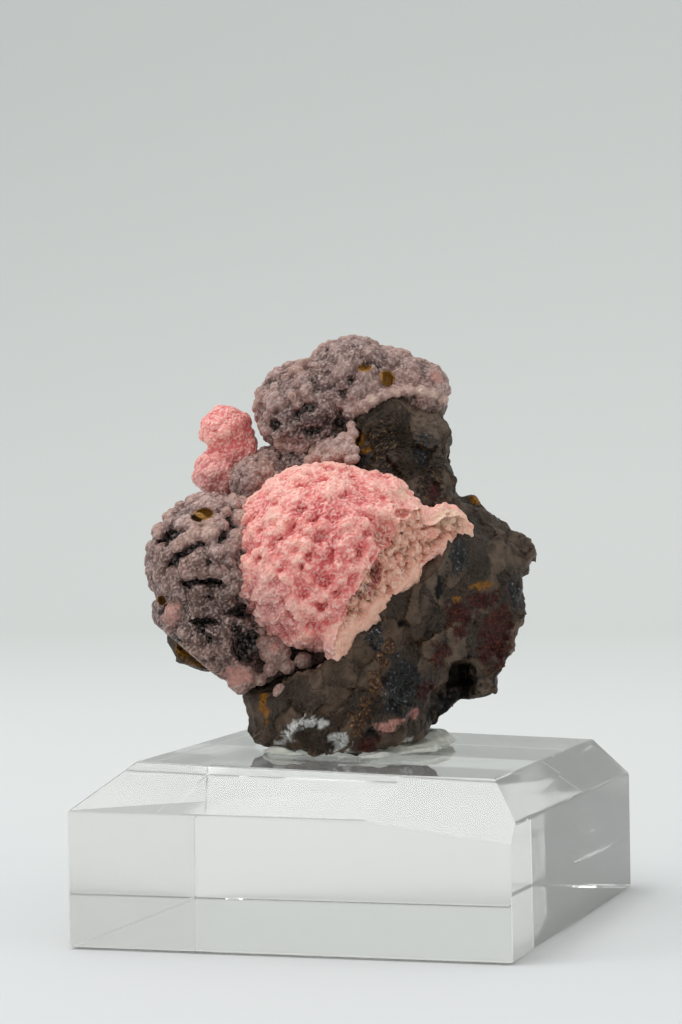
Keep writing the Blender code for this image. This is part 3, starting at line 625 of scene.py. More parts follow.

# %% [markdown]
# ## Where the rock changes
# One flat break runs on from the pink crust over the rock. The fibres fan out from a few places,
# and crusts of other minerals lie in patches, each a place and its radii in millimetres. The black
# patches among them are painted shade in the deep cleft under the right end and in a few cracks.
# %% The break, the fans and the patches
BREAK_POINT = (2.0, -17.8, 51.9)
BREAK_NORMAL = (0.64, -0.72, -0.27)
FANS = (
    (7.1, -3.8, 72.3), (8.5, -5.9, 68.0), (3.0, -14.0, 50.0), (14.0, 0.0, 52.0),
    (-6.0, -9.0, 37.0), (4.0, -8.0, 38.0), (0.0, 22.0, 60.0), (24.0, 12.0, 46.0),
)
PATCHES = {
    "blue": (
        ((6.6, -12.3, 34.6), (3.8, 5.0, 5.0)), ((9.8, -4.0, 69.4), (1.6, 3.0, 3.4)),
        ((1.2, -4.4, 68.4), (1.4, 2.0, 1.8)), ((23.7, 0.6, 47.6), (1.6, 3.0, 2.4)),
        ((14.9, -8.0, 53.6), (1.6, 3.0, 3.0)), ((2.5, -16.0, 43.5), (1.6, 2.5, 3.4)),
    ),
    "silky": (
        ((5.2, -4.6, 71.4), (4.2, 4.0, 3.6)), ((5.0, -6.6, 67.0), (4.0, 3.0, 1.9)),
        ((11.0, -6.8, 64.6), (2.4, 3.0, 3.6)),
    ),
    "pale": (((10.9, 0.9, 75.2), (4.0, 4.0, 2.2)),),
    "rust": (
        ((20.8, -1.5, 41.6), (3.6, 5.0, 5.8)), ((18.3, -3.8, 47.0), (2.8, 4.0, 1.5)),
        ((14.9, -7.0, 44.6), (2.0, 3.0, 3.2)), ((12.1, -10.0, 39.4), (2.1, 3.0, 2.1)),
        ((10.0, -9.0, 34.2), (1.5, 3.0, 1.5)), ((1.5, -14.4, 27.0), (2.2, 3.0, 1.2)),
        ((11.4, -7.0, 62.6), (0.8, 3.0, 2.4)),
    ),
    "gold": (
        ((4.6, -14.6, 41.4), (0.8, 3.0, 1.6)), ((3.6, -15.2, 38.6), (1.0, 3.0, 1.8)),
        ((2.5, -16.0, 35.6), (1.1, 3.0, 1.9)), ((1.2, -16.0, 32.6), (1.1, 3.0, 1.8)),
        ((-0.2, -16.0, 29.8), (1.0, 3.0, 1.8)), ((9.4, -10.6, 41.4), (0.5, 2.0, 0.7)),
    ),
    "ochre": (
        ((18.6, -4.2, 49.3), (2.5, 3.0, 0.55)), ((14.6, -7.6, 47.5), (0.9, 2.0, 0.3)),
        ((-14.2, -10.6, 33.6), (0.8, 3.0, 1.8)), ((-13.5, -11.7, 31.2), (0.5, 3.0, 1.5)),
        ((-25.6, -8.5, 40.8), (1.6, 3.0, 1.5)), ((-23.4, -8.0, 38.7), (1.5, 3.0, 0.7)),
        ((18.4, 5.1, 62.2), (1.6, 3.0, 0.7)), ((0.8, -3.6, 71.4), (0.5, 1.5, 1.3)),
        ((1.3, -4.6, 69.6), (0.8, 1.5, 0.5)),
    ),
    "rosy": (
        ((3.9, -13.5, 29.3), (2.0, 3.0, 0.8)), ((7.9, -9.1, 30.9), (0.9, 3.0, 0.8)),
        ((5.4, -12.4, 30.0), (1.2, 2.0, 0.5)), ((22.4, 5.0, 60.6), (2.2, 4.0, 0.9)),
    ),
    "white": (
        ((-11.6, -12.0, 26.9), (1.3, 3.0, 0.7)), ((-10.2, -13.0, 28.0), (1.1, 3.0, 1.1)),
        ((-8.9, -15.0, 29.5), (1.1, 3.0, 1.1)), ((-7.0, -16.0, 30.5), (1.3, 3.0, 0.9)),
        ((-5.3, -16.5, 30.1), (0.9, 3.0, 0.8)), ((-3.4, -16.3, 28.3), (1.5, 3.0, 0.7)),
        ((-2.5, -15.6, 27.0), (1.5, 3.0, 1.1)), ((-1.7, -15.0, 25.8), (0.7, 3.0, 0.9)),
        ((6.9, -7.6, 26.8), (1.1, 2.0, 0.4)),
    ),
    # Painted shade in the deep cleft and in a few cracks.
    "black": (
        ((15.0, 0.0, 34.4), (2.6, 8.0, 3.6)), ((12.6, 0.0, 30.4), (3.2, 8.0, 3.0)),
        ((1.7, -14.2, 28.6), (0.9, 2.0, 1.0)), ((11.8, -9.4, 49.0), (0.5, 2.0, 2.2)),
        ((6.9, -13.7, 44.2), (1.0, 2.0, 0.7)),
    ),
}
print("patches:", sum(len(patches) for patches in PATCHES.values()))

# %% [markdown]
# ## The rock
# The rock keeps the shape of its solid. A merged copy of the solid is cut into fine even faces,
# then split into flat chips, ridged along its fibres and pitted. A break stays smoother than
# the rest, and the right end is knobby. A displacement texture could do part of this, but code
# can let each chip lean its own way.
# %% The rock's surface
ROCK_FACES = 0.37
BREAK_REACH = 1.6
KNOBS_BEGIN = 17.0
KNOBS_BLEND = 3.0
CHIP_SIZE = 4.6
CHIP_LEAN = 2.0
CHIP_SHUFFLE = 5.1
TONE_SHUFFLE = 9.7
GRAIN_SIZE = 0.9
KNOB_SIZE = 2.1
RIDGES_ROUND = 11.0
FINE_RIDGES_ROUND = 26.0
SETTLE = 0.12

rock = merged_copy("goethite_matrix", "goethite_rock")
one_skin(rock, ROCK_FACES)

spots = points_of(rock)
normals = normals_of(rock)
flat = np.array(BREAK_NORMAL) / np.linalg.norm(BREAK_NORMAL)
off_break = np.abs((spots - np.array(BREAK_POINT)) @ flat)
on_break = np.clip(BREAK_REACH - off_break, 0, 1) * np.clip((normals @ flat) * 4 - 2.6, 0, 1)
rusty = blots(spots, PATCHES["rust"], wander(spots, 2.0) * 0.5)
fanned = blots(spots, PATCHES["silky"], wander(spots, 2.0) * 0.3)
knobby = np.clip((spots[:, 0] - KNOBS_BEGIN) / KNOBS_BLEND, 0.0, 1.0) * (1.0 - rusty)
to_fan = np.stack([spots - np.array(fan) for fan in FANS])
nearest = np.linalg.norm(to_fan, axis=2).argmin(axis=0)
ways = to_fan[nearest, np.arange(len(spots))]
ways /= np.linalg.norm(ways, axis=1)[:, None]
rise = np.empty(len(spots))
tones = np.empty(len(spots))
for index, spot in enumerate(spots):
    scaled = Vector(spot / CHIP_SIZE)
    far, centres = noise.voronoi(scaled)
    lean = noise.cell_vector(centres[0] * CHIP_SHUFFLE) - HALF
    tones[index] = noise.cell(centres[0] * TONE_SHUFFLE)
    chip = lean.dot(scaled - centres[0]) * CHIP_LEAN
    ridge = noise.noise(Vector(ways[index]) * RIDGES_ROUND) * 0.3
    ridge += noise.noise(Vector(ways[index]) * FINE_RIDGES_ROUND) * 0.2 * fanned[index]
    grain = 0.4 - noise.voronoi(Vector(spot / GRAIN_SIZE))[0][0]
    knob = 0.45 - noise.voronoi(Vector(spot / KNOB_SIZE))[0][0]
    calm = 1.0 - 0.78 * on_break[index]
    rise[index] = (chip * 0.9 + ridge) * calm * (1.0 - 0.6 * rusty[index])
    rise[index] += grain * (0.08 * calm + 0.55 * rusty[index]) + knob * 0.9 * knobby[index]
move_points(rock, spots + normals * (rise - SETTLE)[:, None])
print("the rock's points move by", rise.min().round(2), "to", rise.max().round(2), "mm")

# %% [markdown]
# Each point of the rock now stores its way from the nearest fan, the tone of its chip and how
# much it belongs to each kind of patch. Then the rock takes the place of its solid.
# %% The rock's tones
spots = points_of(rock)
ragged = wander(spots, 1.3) * 0.35 + wander(spots, 0.5) * 0.3
keep_way(rock, "fibre", ways)
keep_value(rock, "facet", tones * 0.5 + 0.5 + wander(spots, 4.0) * 0.4)
for name, patches in PATCHES.items():
    keep_value(rock, name, blots(spots, patches, ragged * 2.0, 5.0))
rock.data.materials.append(goethite)
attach(rock, "root")
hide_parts("goethite_matrix")
print("rock faces:", len(rock.data.polygons))

# %% [markdown]
# ## The pink ball
# The pink crust is a ball with a side crust that was broken through. The ball carries hundreds
# of beads over a core, in level rows. The side crust is cut flat along the same break as in the
# solid and then pitted, so that it shows the grains inside the crust.
# %% The pink ball
BALL_LOBES = (
    ((-4.9, -8.0, 54.0), 13.9),
    ((2.2, -9.5, 59.4), 7.2),
)
SIDE_LOBES = (
    ((3.5, -9.0, 57.0), (8.5, 8.5, 7.2)),
    ((1.5, -11.0, 49.5), (8.0, 8.0, 9.5)),
    ((11.0, -6.5, 57.4), (6.2, 5.5, 4.6)),
    ((-1.6, -14.8, 43.2), (3.8, 4.2, 5.2)),
)
WALL_POINT = (2.2, -19.0, 52.0)
WALL_NORMAL = (0.87, -0.15, -0.49)
PINK_BACK = -2.0
PINK_BEADS = (0.65, 1.25)
PINK_CORE_DEPTH = 1.35
PINK_WAVES = 1.7
PINK_ROWS = 0.55
PINK_SEED = 9
PINK_FACES = 0.26
PINK_HOLLOWS = (
    ((4.8, -18.5, 57.4), (2.2, 3.2, 2.8)), ((3.2, -17.0, 51.4), (0.9, 2.2, 2.2)),
    ((7.2, -15.6, 60.2), (1.4, 1.8, 0.8)), ((11.8, -11.4, 57.1), (1.7, 1.6, 0.7)),
    ((2.4, -17.0, 48.6), (0.7, 1.8, 1.6)), ((14.0, -9.6, 57.9), (0.6, 1.4, 0.5)),
)


def in_front(spot):
    """Whether a bead lies before the pink crust's back."""
    return spot[1] < PINK_BACK


def pink_lobes(name, lobes):
    """Lobes with their beads, in one skin."""
    pieces = []
    for number, (centre, size) in enumerate(lobes):
        inner = tuple(radius - PINK_CORE_DEPTH for radius in radii_of(size))
        pieces.append(ball("pink_core", centre, inner))
        spots = beads_on_lobe(
            centre, size, PINK_BEADS, number + PINK_SEED, PINK_WAVES, in_front, PINK_ROWS,
        )
        pieces += bead_copies(spots, number)
    made = join(name, pieces)
    one_skin(made, PINK_FACES)
    return made


pink_ball = pink_lobes("pink_ball", BALL_LOBES)
slice_off(pink_ball, WALL_POINT, WALL_NORMAL)
side = pink_lobes("pink_side", BALL_LOBES + SIDE_LOBES)
slice_off(side, BREAK_POINT, BREAK_NORMAL)
pink_ball = join("pink_crust", [side, pink_ball])
one_skin(pink_ball, PINK_FACES)
hollow_out(pink_ball, PINK_HOLLOWS)
slice_off(pink_ball, (0.0, PINK_BACK + 4.0, 0.0), (0.0, 1.0, 0.0))
one_skin(pink_ball, PINK_FACES)
print("pink faces before frost:", len(pink_ball.data.polygons))

# %% [markdown]
# The broken side: points close to the break sink by a grain pattern. The half next to the ball is
# coarse, with whole beads in it, and the half along the rock is fine.
# %% The broken side
SEAM_POINT = (5.2, -13.0, 46.6)
SEAM_WAY = (-0.309, -0.563, 0.767)
SEAM_OFFSET = 1.7
SEAM_BLEND = 1.2
LUMP_SIZE = 1.35
LUMP_REACH = 0.66
UNEVEN_SIZE = 2.3


def near_plane(item, point, normal, reach):
    """How much each point of a piece lies on a plane that faces the same way, from 0 to 1."""
    facing = np.array(normal) / np.linalg.norm(normal)
    away = np.abs((points_of(item) - np.array(point)) @ facing)
    square = normals_of(item) @ facing
    return np.clip((reach - away) / (reach * 0.5), 0.0, 1.0) * np.clip(square * 4 - 2, 0.0, 1.0)


spots = points_of(pink_ball)
wall = np.array(WALL_NORMAL) / np.linalg.norm(WALL_NORMAL)
past_wall = (spots - np.array(WALL_POINT)) @ wall
on_side = near_plane(pink_ball, BREAK_POINT, BREAK_NORMAL, 0.9)
on_side *= np.clip(past_wall / 0.6 + 0.6, 0, 1)
on_wall = near_plane(pink_ball, WALL_POINT, WALL_NORMAL, 0.7)
in_hollow = blots(spots, [(spot, [r * 1.15 for r in radii]) for spot, radii in PINK_HOLLOWS],
                  wander(spots, 1.0) * 0.1)
broken = np.maximum(np.maximum(on_side, on_wall), in_hollow)
seam = (spots - np.array(SEAM_POINT)) @ np.array(SEAM_WAY)
coarse = np.clip((seam - SEAM_OFFSET + wander(spots, 2.0) * 1.2) / SEAM_BLEND, 0.0, 1.0)
sink = np.zeros(len(spots))
for index in np.nonzero(broken > 0)[0]:
    far, centres = noise.voronoi(Vector(spots[index] / LUMP_SIZE))
    lump = math.sqrt(max(0.0, 1.0 - (far[0] / LUMP_REACH) ** 2))
    uneven = noise.noise(Vector(spots[index] / UNEVEN_SIZE)) * 0.5 + 0.5
    grainy = 1.0 - lump + uneven
    # Inside the hollows the sink only darkens the colour, as painted shade; points deep in a
    # hollow don't move.
    sink[index] = 0.1 + grainy * (0.10 + 0.90 * coarse[index]) + 0.9 * in_hollow[index]
sink *= broken
move_points(pink_ball, spots - flat[None, :] * (sink * (1.0 - in_hollow))[:, None])
finish_with(pink_ball, "SMOOTH", factor=0.4, iterations=1)
frost(pink_ball, FROST_SIZE, 0.2, 1.0 - 0.6 * broken * (1.0 - coarse))
print("points on the broken side:", int((broken > 0).sum()))

# %% [markdown]
# The pink crust stores its depths and its rosy, dusky and creamy patches, and takes the place of
# its solid.
# %% The pink ball's tones
spots = points_of(pink_ball)
ragged = wander(spots, 1.3) * 0.35
under = sunk(spots, BALL_LOBES)
keep_value(pink_ball, "broken", broken)
# On the broken side the colour darkens with how deep a grain sinks, and more in the hollows:
# painted shade in pits and hollows.
keep_value(pink_ball, "sunk", under * (1.0 - broken) + (sink * 0.95 + 0.2) * broken)
for name, patches in (
    ("rosy", (((-2.0, -20.0, 55.0), (5.0, 12.0, 6.0)), ((-1.0, -20.0, 48.0), (4.0, 12.0, 4.0)),
              ((-6.5, -20.0, 60.0), (5.0, 12.0, 4.0)))),
    ("dusky", (((-13.0, -14.0, 47.0), (6.5, 12.0, 6.5)), ((-5.0, -18.0, 40.5), (7.0, 12.0, 2.6)))),
    ("cream", (((13.4, -9.0, 59.2), (4.4, 5.0, 2.2)), ((6.8, -13.0, 63.2), (1.8, 4.0, 1.6), 0.6))),
):
    keep_value(pink_ball, name, blots(spots, patches, ragged, 1.4))
pink_ball.data.materials.append(pink)
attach(pink_ball, "root")
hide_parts("pink_druse")
print("pink faces:", len(pink_ball.data.polygons))

# %% [markdown]
# ## The mauve ball on the left
# This ball is made of short fingers of beads that lie side by side, with deep dark slits between
# them. The fingers in front are rows of beads between two places. Loose beads fill the rest.
# %% The left ball
LEFT_LOBES = (
    ((-20.9, -6.0, 53.5), (10.4, 10.2, 10.4)),
    ((-21.4, -5.5, 45.2), (9.2, 9.4, 8.8)),
    ((-18.6, -8.0, 39.6), (4.0, 4.0, 3.8)),
    ((-17.0, -8.2, 36.4), (2.7, 2.8, 2.3)),
)
LEFT_HOLLOWS = (
    ((-22.0, -12.6, 60.7), (1.3, 1.7, 0.8)), ((-22.9, -12.6, 60.1), (1.1, 1.7, 0.7)),
    ((-21.6, -14.0, 50.9), (3.4, 2.6, 0.45)),
    ((-22.4, -13.4, 45.1), (2.2, 2.4, 0.6)), ((-19.3, -13.3, 54.9), (0.8, 2.4, 1.1)),
    ((-28.6, -9.8, 48.1), (0.6, 1.6, 0.8)), ((-16.4, -13.0, 46.4), (2.2, 4.0, 1.1)),
    ((-15.4, -12.0, 40.9), (3.1, 5.0, 2.9)), ((-26.6, -13.0, 57.4), (0.7, 2.0, 0.6)),
    ((-25.4, -13.2, 54.9), (1.2, 2.0, 0.4)),
)
FINGERS = (
    ((-28.2, -12.7, 54.3), (-21.6, -14.6, 57.7), 1.0),
    ((-24.2, -15.5, 53.2), (-20.6, -14.2, 55.0), 1.15),
    ((-27.7, -12.4, 52.0), (-18.8, -15.6, 52.6), 1.15),
    ((-25.0, -13.7, 48.9), (-17.8, -14.1, 49.5), 1.25),
    ((-24.2, -13.9, 46.9), (-18.7, -14.0, 46.9), 1.1),
    ((-24.9, -13.6, 43.2), (-18.5, -13.7, 43.6), 1.15),
    ((-24.9, -12.0, 40.9), (-18.8, -13.3, 41.5), 1.2),
    ((-30.7, -6.6, 51.0), (-27.1, -12.7, 49.7), 1.2),
)
LEFT_LUMPS = (
    ((-24.5, -12.2, 59.3), 1.5), ((-26.2, -11.6, 46.2), 2.0), ((-26.8, -11.0, 44.1), 1.6),
    ((-24.4, -12.0, 45.6), 1.3), ((-21.3, -13.2, 58.4), 1.3), ((-20.6, -13.4, 57.8), 1.2),
)
RIM_POINT = (-25.0, 0.0, 39.3)
RIM_NORMAL = (-0.66, -0.1, -0.75)
LEFT_BACK = 3.0
LEFT_BEADS = (0.85, 1.45)
LEFT_WAVES = 1.6
LEFT_CORE_DEPTH = 2.0
SMALL_LOBE = 3.0
SMALL_CORE_DEPTH = 0.9
FINGER_WIDTH = 1.15
LEFT_FACES = 0.22


def outside_fingers(spot):
    """Whether a bead belongs to the loose ones: in front, and few of them among the fingers."""
    among = -28.0 < spot[0] < -17.6 and 40.4 < spot[2] < 58.6 and spot[1] < -9.0
    return spot[1] < 1.0 and not (among and noise.noise(Vector(spot) * 0.9) < 0.1)


pieces = bead_copies(LEFT_LUMPS, 5)
for number, (centre, size) in enumerate(LEFT_LOBES):
    inner = tuple(
        radius - (LEFT_CORE_DEPTH if radius > SMALL_LOBE else SMALL_CORE_DEPTH)
        for radius in radii_of(size)
    )
    pieces.append(ball("left_core", centre, inner))
    spots = beads_on_lobe(centre, size, LEFT_BEADS, number + 31, LEFT_WAVES, outside_fingers)
    pieces += bead_copies(spots, number)
for number, (first, last, radius) in enumerate(FINGERS):
    spots = beads_in_row(first, last, radius * FINGER_WIDTH, LEFT_LOBES, number)
    pieces += bead_copies(spots, number)
left_ball = join("left_mauve_crust", pieces)
one_skin(left_ball, LEFT_FACES)
hollow_out(left_ball, LEFT_HOLLOWS)
slice_off(left_ball, RIM_POINT, RIM_NORMAL)
slice_off(left_ball, (0.0, LEFT_BACK, 0.0), (0.0, 1.0, 0.0))
one_skin(left_ball, LEFT_FACES)
frost(left_ball, FROST_SIZE, 0.16)
print("left ball joined from", len(pieces), "balls")


# %% [markdown]
# All mauve pieces store the same values and get the same finish, so one function does it. It
# takes the patches by name, and each piece then takes the place of its solid.
# %% The mauve finish
def dress_mauve(item, lobes, node, shade_starts=99.0, **patches):
    """Stores what the mauve finish reads, and puts the piece in its solid's place.

    Past a given place towards the back, everything gets darker, as painted shade deep in a hollow.
    """
    spots = points_of(item)
    ragged = wander(spots, 1.1) * 0.35
    # Points behind the given place count as sunk deeper, which darkens them: painted shade.
    keep_value(item, "sunk", sunk(spots, lobes) + np.clip(spots[:, 1] - shade_starts, 0.0, 4.0))
    for name in ("ochre", "pink", "pale", "dark"):
        keep_value(item, name, blots(spots, patches.get(name, ()), ragged, 3.0))
    item.data.materials.append(mauve)
    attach(item, "root")
    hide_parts(node)
    print(item.name, "faces:", len(item.data.polygons))


dress_mauve(
    left_ball, LEFT_LOBES, "left_mauve_druse",
    ochre=(((-22.2, -12.0, 60.4), (1.6, 3.0, 1.2)), ((-28.6, -9.8, 48.1), (0.7, 2.0, 0.9))),
    pink=(((-17.9, -11.0, 36.8), (2.6, 3.0, 1.8)), ((-26.6, -12.0, 46.4), 2.0)),
    pale=(((-21.0, -14.0, 58.2), 1.6),),
    # Painted shade over the ball's front among the fingers' slits; the first, wide patch darkens
    # the whole ball.
    dark=(
        ((-21.0, -6.0, 48.0), (16.0, 16.0, 13.0), 0.7),
        ((-21.0, -14.0, 46.5), (7.5, 7.0, 6.5), 1.0), ((-22.0, -14.0, 53.5), (5.0, 5.0, 3.0), 0.8),
    ),
)

# %% [markdown]
# ## The dome on top
# Beads of the same mauve sit close together on a wide dome, which hangs over the rock on every
# side. Along the rock's upper edge the crust is broken off and shows its pale inside.
# %% The top dome
TOP_LOBES = (
    ((-7.4, 3.6, 76.0), (8.2, 8.0, 8.0)),
    ((-0.4, 4.5, 79.0), (8.4, 8.0, 8.4)),
    ((9.0, 4.8, 78.8), (5.6, 5.4, 5.2)),
    ((4.6, 5.4, 79.6), (6.6, 6.4, 6.0)),
    ((-3.0, 11.0, 76.0), (8.0, 7.5, 7.0)),
    ((6.0, 11.0, 77.0), (7.0, 6.5, 6.0)),
)
TOP_EDGE = (
    ((-0.7, -2.6, 75.2), 1.2), ((1.2, -3.2, 76.2), 1.2), ((2.6, -2.9, 77.2), 1.1),
    ((4.4, -2.2, 78.0), 1.0), ((6.2, -1.5, 78.4), 1.0), ((8.0, -1.0, 78.6), 1.0),
    ((9.9, -0.4, 78.4), 1.0), ((11.6, 0.6, 78.0), 1.0), ((13.2, 2.0, 77.2), 1.0),
)
TOP_HOLLOWS = (
    ((4.9, -0.9, 80.4), (1.0, 1.6, 1.3)), ((1.5, -2.6, 82.1), (1.2, 1.5, 0.5)),
    ((-12.1, -2.0, 73.8), (1.0, 1.8, 1.0)), ((-2.3, -2.2, 73.9), (1.2, 2.2, 1.0)),
    ((-5.6, -3.0, 72.9), (0.7, 1.6, 0.5)), ((-0.6, -3.2, 80.2), (0.8, 1.2, 0.4)),
)
TOP_BEADS = (0.8, 1.45)
TOP_WAVES = 1.4
TOP_CORE_DEPTH = 1.8
TOP_FACES = 0.26


def lobes_with_beads(name, lobes, beads, relief, core_depth, seed):
    """A core and its beads for each lobe, as separate balls."""
    made = []
    for number, (centre, size) in enumerate(lobes):
        inner = tuple(radius - core_depth for radius in radii_of(size))
        made.append(ball(name, centre, inner))
        made += bead_copies(beads_on_lobe(centre, size, beads, number + seed, relief), number)
    return made


pieces = lobes_with_beads("top_core", TOP_LOBES, TOP_BEADS, TOP_WAVES, TOP_CORE_DEPTH, 61)
pieces += bead_copies(TOP_EDGE, 8)
dome = join("top_mauve_crust", pieces)
one_skin(dome, TOP_FACES)
hollow_out(dome, TOP_HOLLOWS)
one_skin(dome, TOP_FACES)
frost(dome, FROST_SIZE, 0.16)
dress_mauve(
    dome, TOP_LOBES, "top_mauve_druse",
    ochre=(((4.8, -0.6, 80.5), (1.3, 2.6, 1.3)), ((1.5, -2.0, 82.0), (1.3, 2.0, 0.7))),
    pale=tuple((spot, (1.3, 1.3, 0.9)) for spot, radius in TOP_EDGE[2:]),
    pink=(((12.6, 0.0, 80.6), (1.4, 3.0, 1.2)),),
    # The first dark patch is painted shade under the dome's front edge; the second darkens the
    # whole dome a little.
    dark=(((-5.0, -3.0, 73.5), (9.0, 6.0, 3.0)), ((2.0, -2.0, 80.0), (14.0, 9.0, 8.0), 0.35)),
)

# %% [markdown]
# ## The saddle
# Between the dome and the pink ball the mauve crust goes on as a low saddle with a clump of
# small round beads.
# %% The saddle
MIDDLE_LOBES = (
    ((-14.9, 1.0, 65.4), (4.4, 4.4, 4.2)), ((-12.6, 3.0, 68.0), (3.2, 3.2, 3.2)),
    ((-8.6, 0.5, 67.2), (3.6, 3.2, 2.6)), ((-3.4, -1.6, 69.2), (3.6, 3.0, 2.8)),
)
MIDDLE_BEADS = (
    ((-5.7, -4.0, 69.0), 0.9), ((-4.3, -4.3, 68.4), 0.9), ((-3.7, -4.0, 70.0), 0.9),
    ((-2.6, -3.9, 70.9), 0.9), ((-2.8, -4.6, 69.2), 1.0), ((-1.4, -4.6, 69.7), 1.0),
    ((-0.9, -4.8, 68.3), 0.9), ((-1.8, -3.6, 71.7), 0.9), ((-0.8, -4.0, 70.9), 0.9),
    ((-0.2, -4.4, 69.7), 0.9), ((-0.1, -4.8, 68.5), 0.8), ((-0.3, -3.6, 72.2), 0.9),
    ((-4.9, -3.2, 70.4), 0.8), ((-6.9, -3.4, 68.3), 0.9), ((-0.6, -3.2, 73.4), 0.8),
)
SMALL_BEADS = (0.6, 1.0)
SADDLE_WAVES = 0.6
SADDLE_CORE_DEPTH = 1.0
SADDLE_FACES = 0.22

pieces = lobes_with_beads(
    "saddle_core", MIDDLE_LOBES, SMALL_BEADS, SADDLE_WAVES, SADDLE_CORE_DEPTH, 81,
)
pieces += bead_copies(MIDDLE_BEADS, 9)
saddle = join("saddle_crust", pieces)
one_skin(saddle, SADDLE_FACES)
frost(saddle, FROST_SIZE, 0.15)
dress_mauve(
    saddle, MIDDLE_LOBES, "middle_mauve_druse",
    ochre=(((0.4, -4.4, 71.0), (0.6, 2.0, 1.0)),),
    # The dark patch is painted shade in the saddle's dip.
    dark=(((-10.0, -1.0, 68.4), (3.0, 4.0, 2.4)),),
)

# %% [markdown]
# ## The beads in the hollow
# Round beads grow one by one out of the dark hollow under the two balls. Each one keeps a stalk
# to the crust behind it, so that no bead hangs in the air.
# %% The hollow's beads
HOLLOW_BEADS = (
    ((-12.4, -9.4, 40.6), 2.3), ((-12.9, -9.0, 37.7), 1.2), ((-10.4, -9.2, 38.0), 1.2),
    ((-8.1, -9.2, 38.9), 1.3), ((-14.5, -9.0, 36.2), 1.0), ((-5.2, -12.0, 37.7), 0.9),
    ((-11.2, -11.0, 34.4), 1.4), ((-9.4, -11.0, 34.7), 1.0), ((-6.8, -12.0, 35.8), 0.9),
    ((-16.0, -9.0, 44.4), 1.2), ((-14.3, -9.4, 43.9), 1.0), ((-7.6, -11.6, 34.9), 0.9),
    ((-13.6, -9.6, 41.6), 1.4), ((-11.2, -9.6, 40.0), 1.5),
)
HOLLOW_CRUST = (((-10.2, -3.4, 38.4), (6.4, 1.6, 4.6)), ((-12.0, -3.6, 42.0), (3.2, 1.6, 3.2)))
CRUST_AT = -3.0
HOLLOW_FACES = 0.2

pieces = bead_copies(HOLLOW_BEADS, 11)
for (across, back, up), radius in HOLLOW_BEADS:
    half = (CRUST_AT - back) / 2
    stalk = (radius * 0.6, half + radius * 0.5, radius * 0.6)
    pieces.append(ball("stalk", (across, back + half, up), stalk, 3))
for centre, size in HOLLOW_CRUST:
    pieces.append(ball("hollow_crust", centre, size, 3))
hollow = join("hollow_crust", pieces)
one_skin(hollow, HOLLOW_FACES)
frost(hollow, 0.55, 0.13)
# Beads further back in the hollow are darkened with painted shade.
dress_mauve(
    hollow, HOLLOW_BEADS, "hollow_beads", shade_starts=-9.4,
    pink=(((-12.2, -12.2, 41.0), (1.6, 1.6, 1.2)),),
)

# %% [markdown]
# ## The smooth knob
# Two lobes, one over the other, that run into each other, with low broad lumps and a fine frost.
# %% The knob
KNOB_LOBES = (
    ((-19.7, 4.0, 73.2), (4.2, 3.9, 3.9)), ((-18.8, 4.2, 70.4), (3.9, 3.7, 3.6)),
    ((-20.8, 4.0, 66.9), (4.2, 3.9, 4.1)),
)
BROAD_BEADS = (1.3, 1.9)
KNOB_WAVES = 0.5
KNOB_CORE_DEPTH = 0.45
KNOB_FACES = 0.2

pieces = lobes_with_beads("lobe", KNOB_LOBES, BROAD_BEADS, KNOB_WAVES, KNOB_CORE_DEPTH, 21)
knob = join("pink_knob_crust", pieces)
one_skin(knob, KNOB_FACES)
finish_with(knob, "SMOOTH", factor=0.5, iterations=4)
frost(knob, FROST_SIZE, 0.16)
spots = points_of(knob)
keep_value(knob, "sunk", np.clip(sunk(spots, KNOB_LOBES), -0.5, 0.9) + 0.35)
for name in ("broken", "cream"):
    keep_value(knob, name, np.zeros(len(spots)))
ragged = wander(spots, 2.0) * 0.35
keep_value(knob, "rosy", blots(spots, (((-18.6, 1.5, 70.0), (5.0, 4.0, 1.6)),), ragged, 1.4) * 0.6)
keep_value(knob, "dusky", np.clip((71.0 - spots[:, 2]) / 6.0, 0.0, 1.0))
knob.data.materials.append(pink)
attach(knob, "root")
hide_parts("pink_knob")
print("knob faces:", len(knob.data.polygons))

# %% [markdown]
# ## The block
# The block is clear cast acrylic, cut and polished by hand. Nearly all of it lets light through,
# and a last share of plain white stands for the haze of fine scratches. Its front right corner
# was polished down a little further than the rest, which is one flat cut here.
# %% Cast acrylic, polished by hand
CORNER_POINT = (0.017, -0.0323, 0.0182)
CORNER_NORMAL = (0.117, -0.683, 0.73)

acrylic = new_material("cast_acrylic")
fill(acrylic, acrylic.node_tree.nodes["Principled BSDF"], {
    "Base Color": "fefefb", "Roughness": 0.04, "IOR": 1.49, "Transmission Weight": 0.88,
})
block = merged_copy("display_block", "polished_block")
choose(block)
bpy.ops.object.mode_set(mode="EDIT")
bpy.ops.mesh.select_all(action="SELECT")
bpy.ops.mesh.bisect(
    plane_co=CORNER_POINT, plane_no=CORNER_NORMAL, use_fill=True, clear_outer=True,
)
bpy.ops.object.mode_set(mode="OBJECT")
block.data.materials.append(acrylic)
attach(block, "root")
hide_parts("display_block")
print("block faces:", len(block.data.polygons))

# %% [markdown]
# ## The putty
# The specimen stands in mineral putty, a greyish translucent rubber that was pulled and pressed,
# which leaves soft folds. A little light goes through its skin.
# %% Mineral putty, pressed by hand
PUTTY_CLOUDS_PER_MM = 0.8
PUTTY_FACES = 0.3
FOLD_DEPTH = 0.35
PULLED_IN = -0.25
MOST_OUT = 0.05

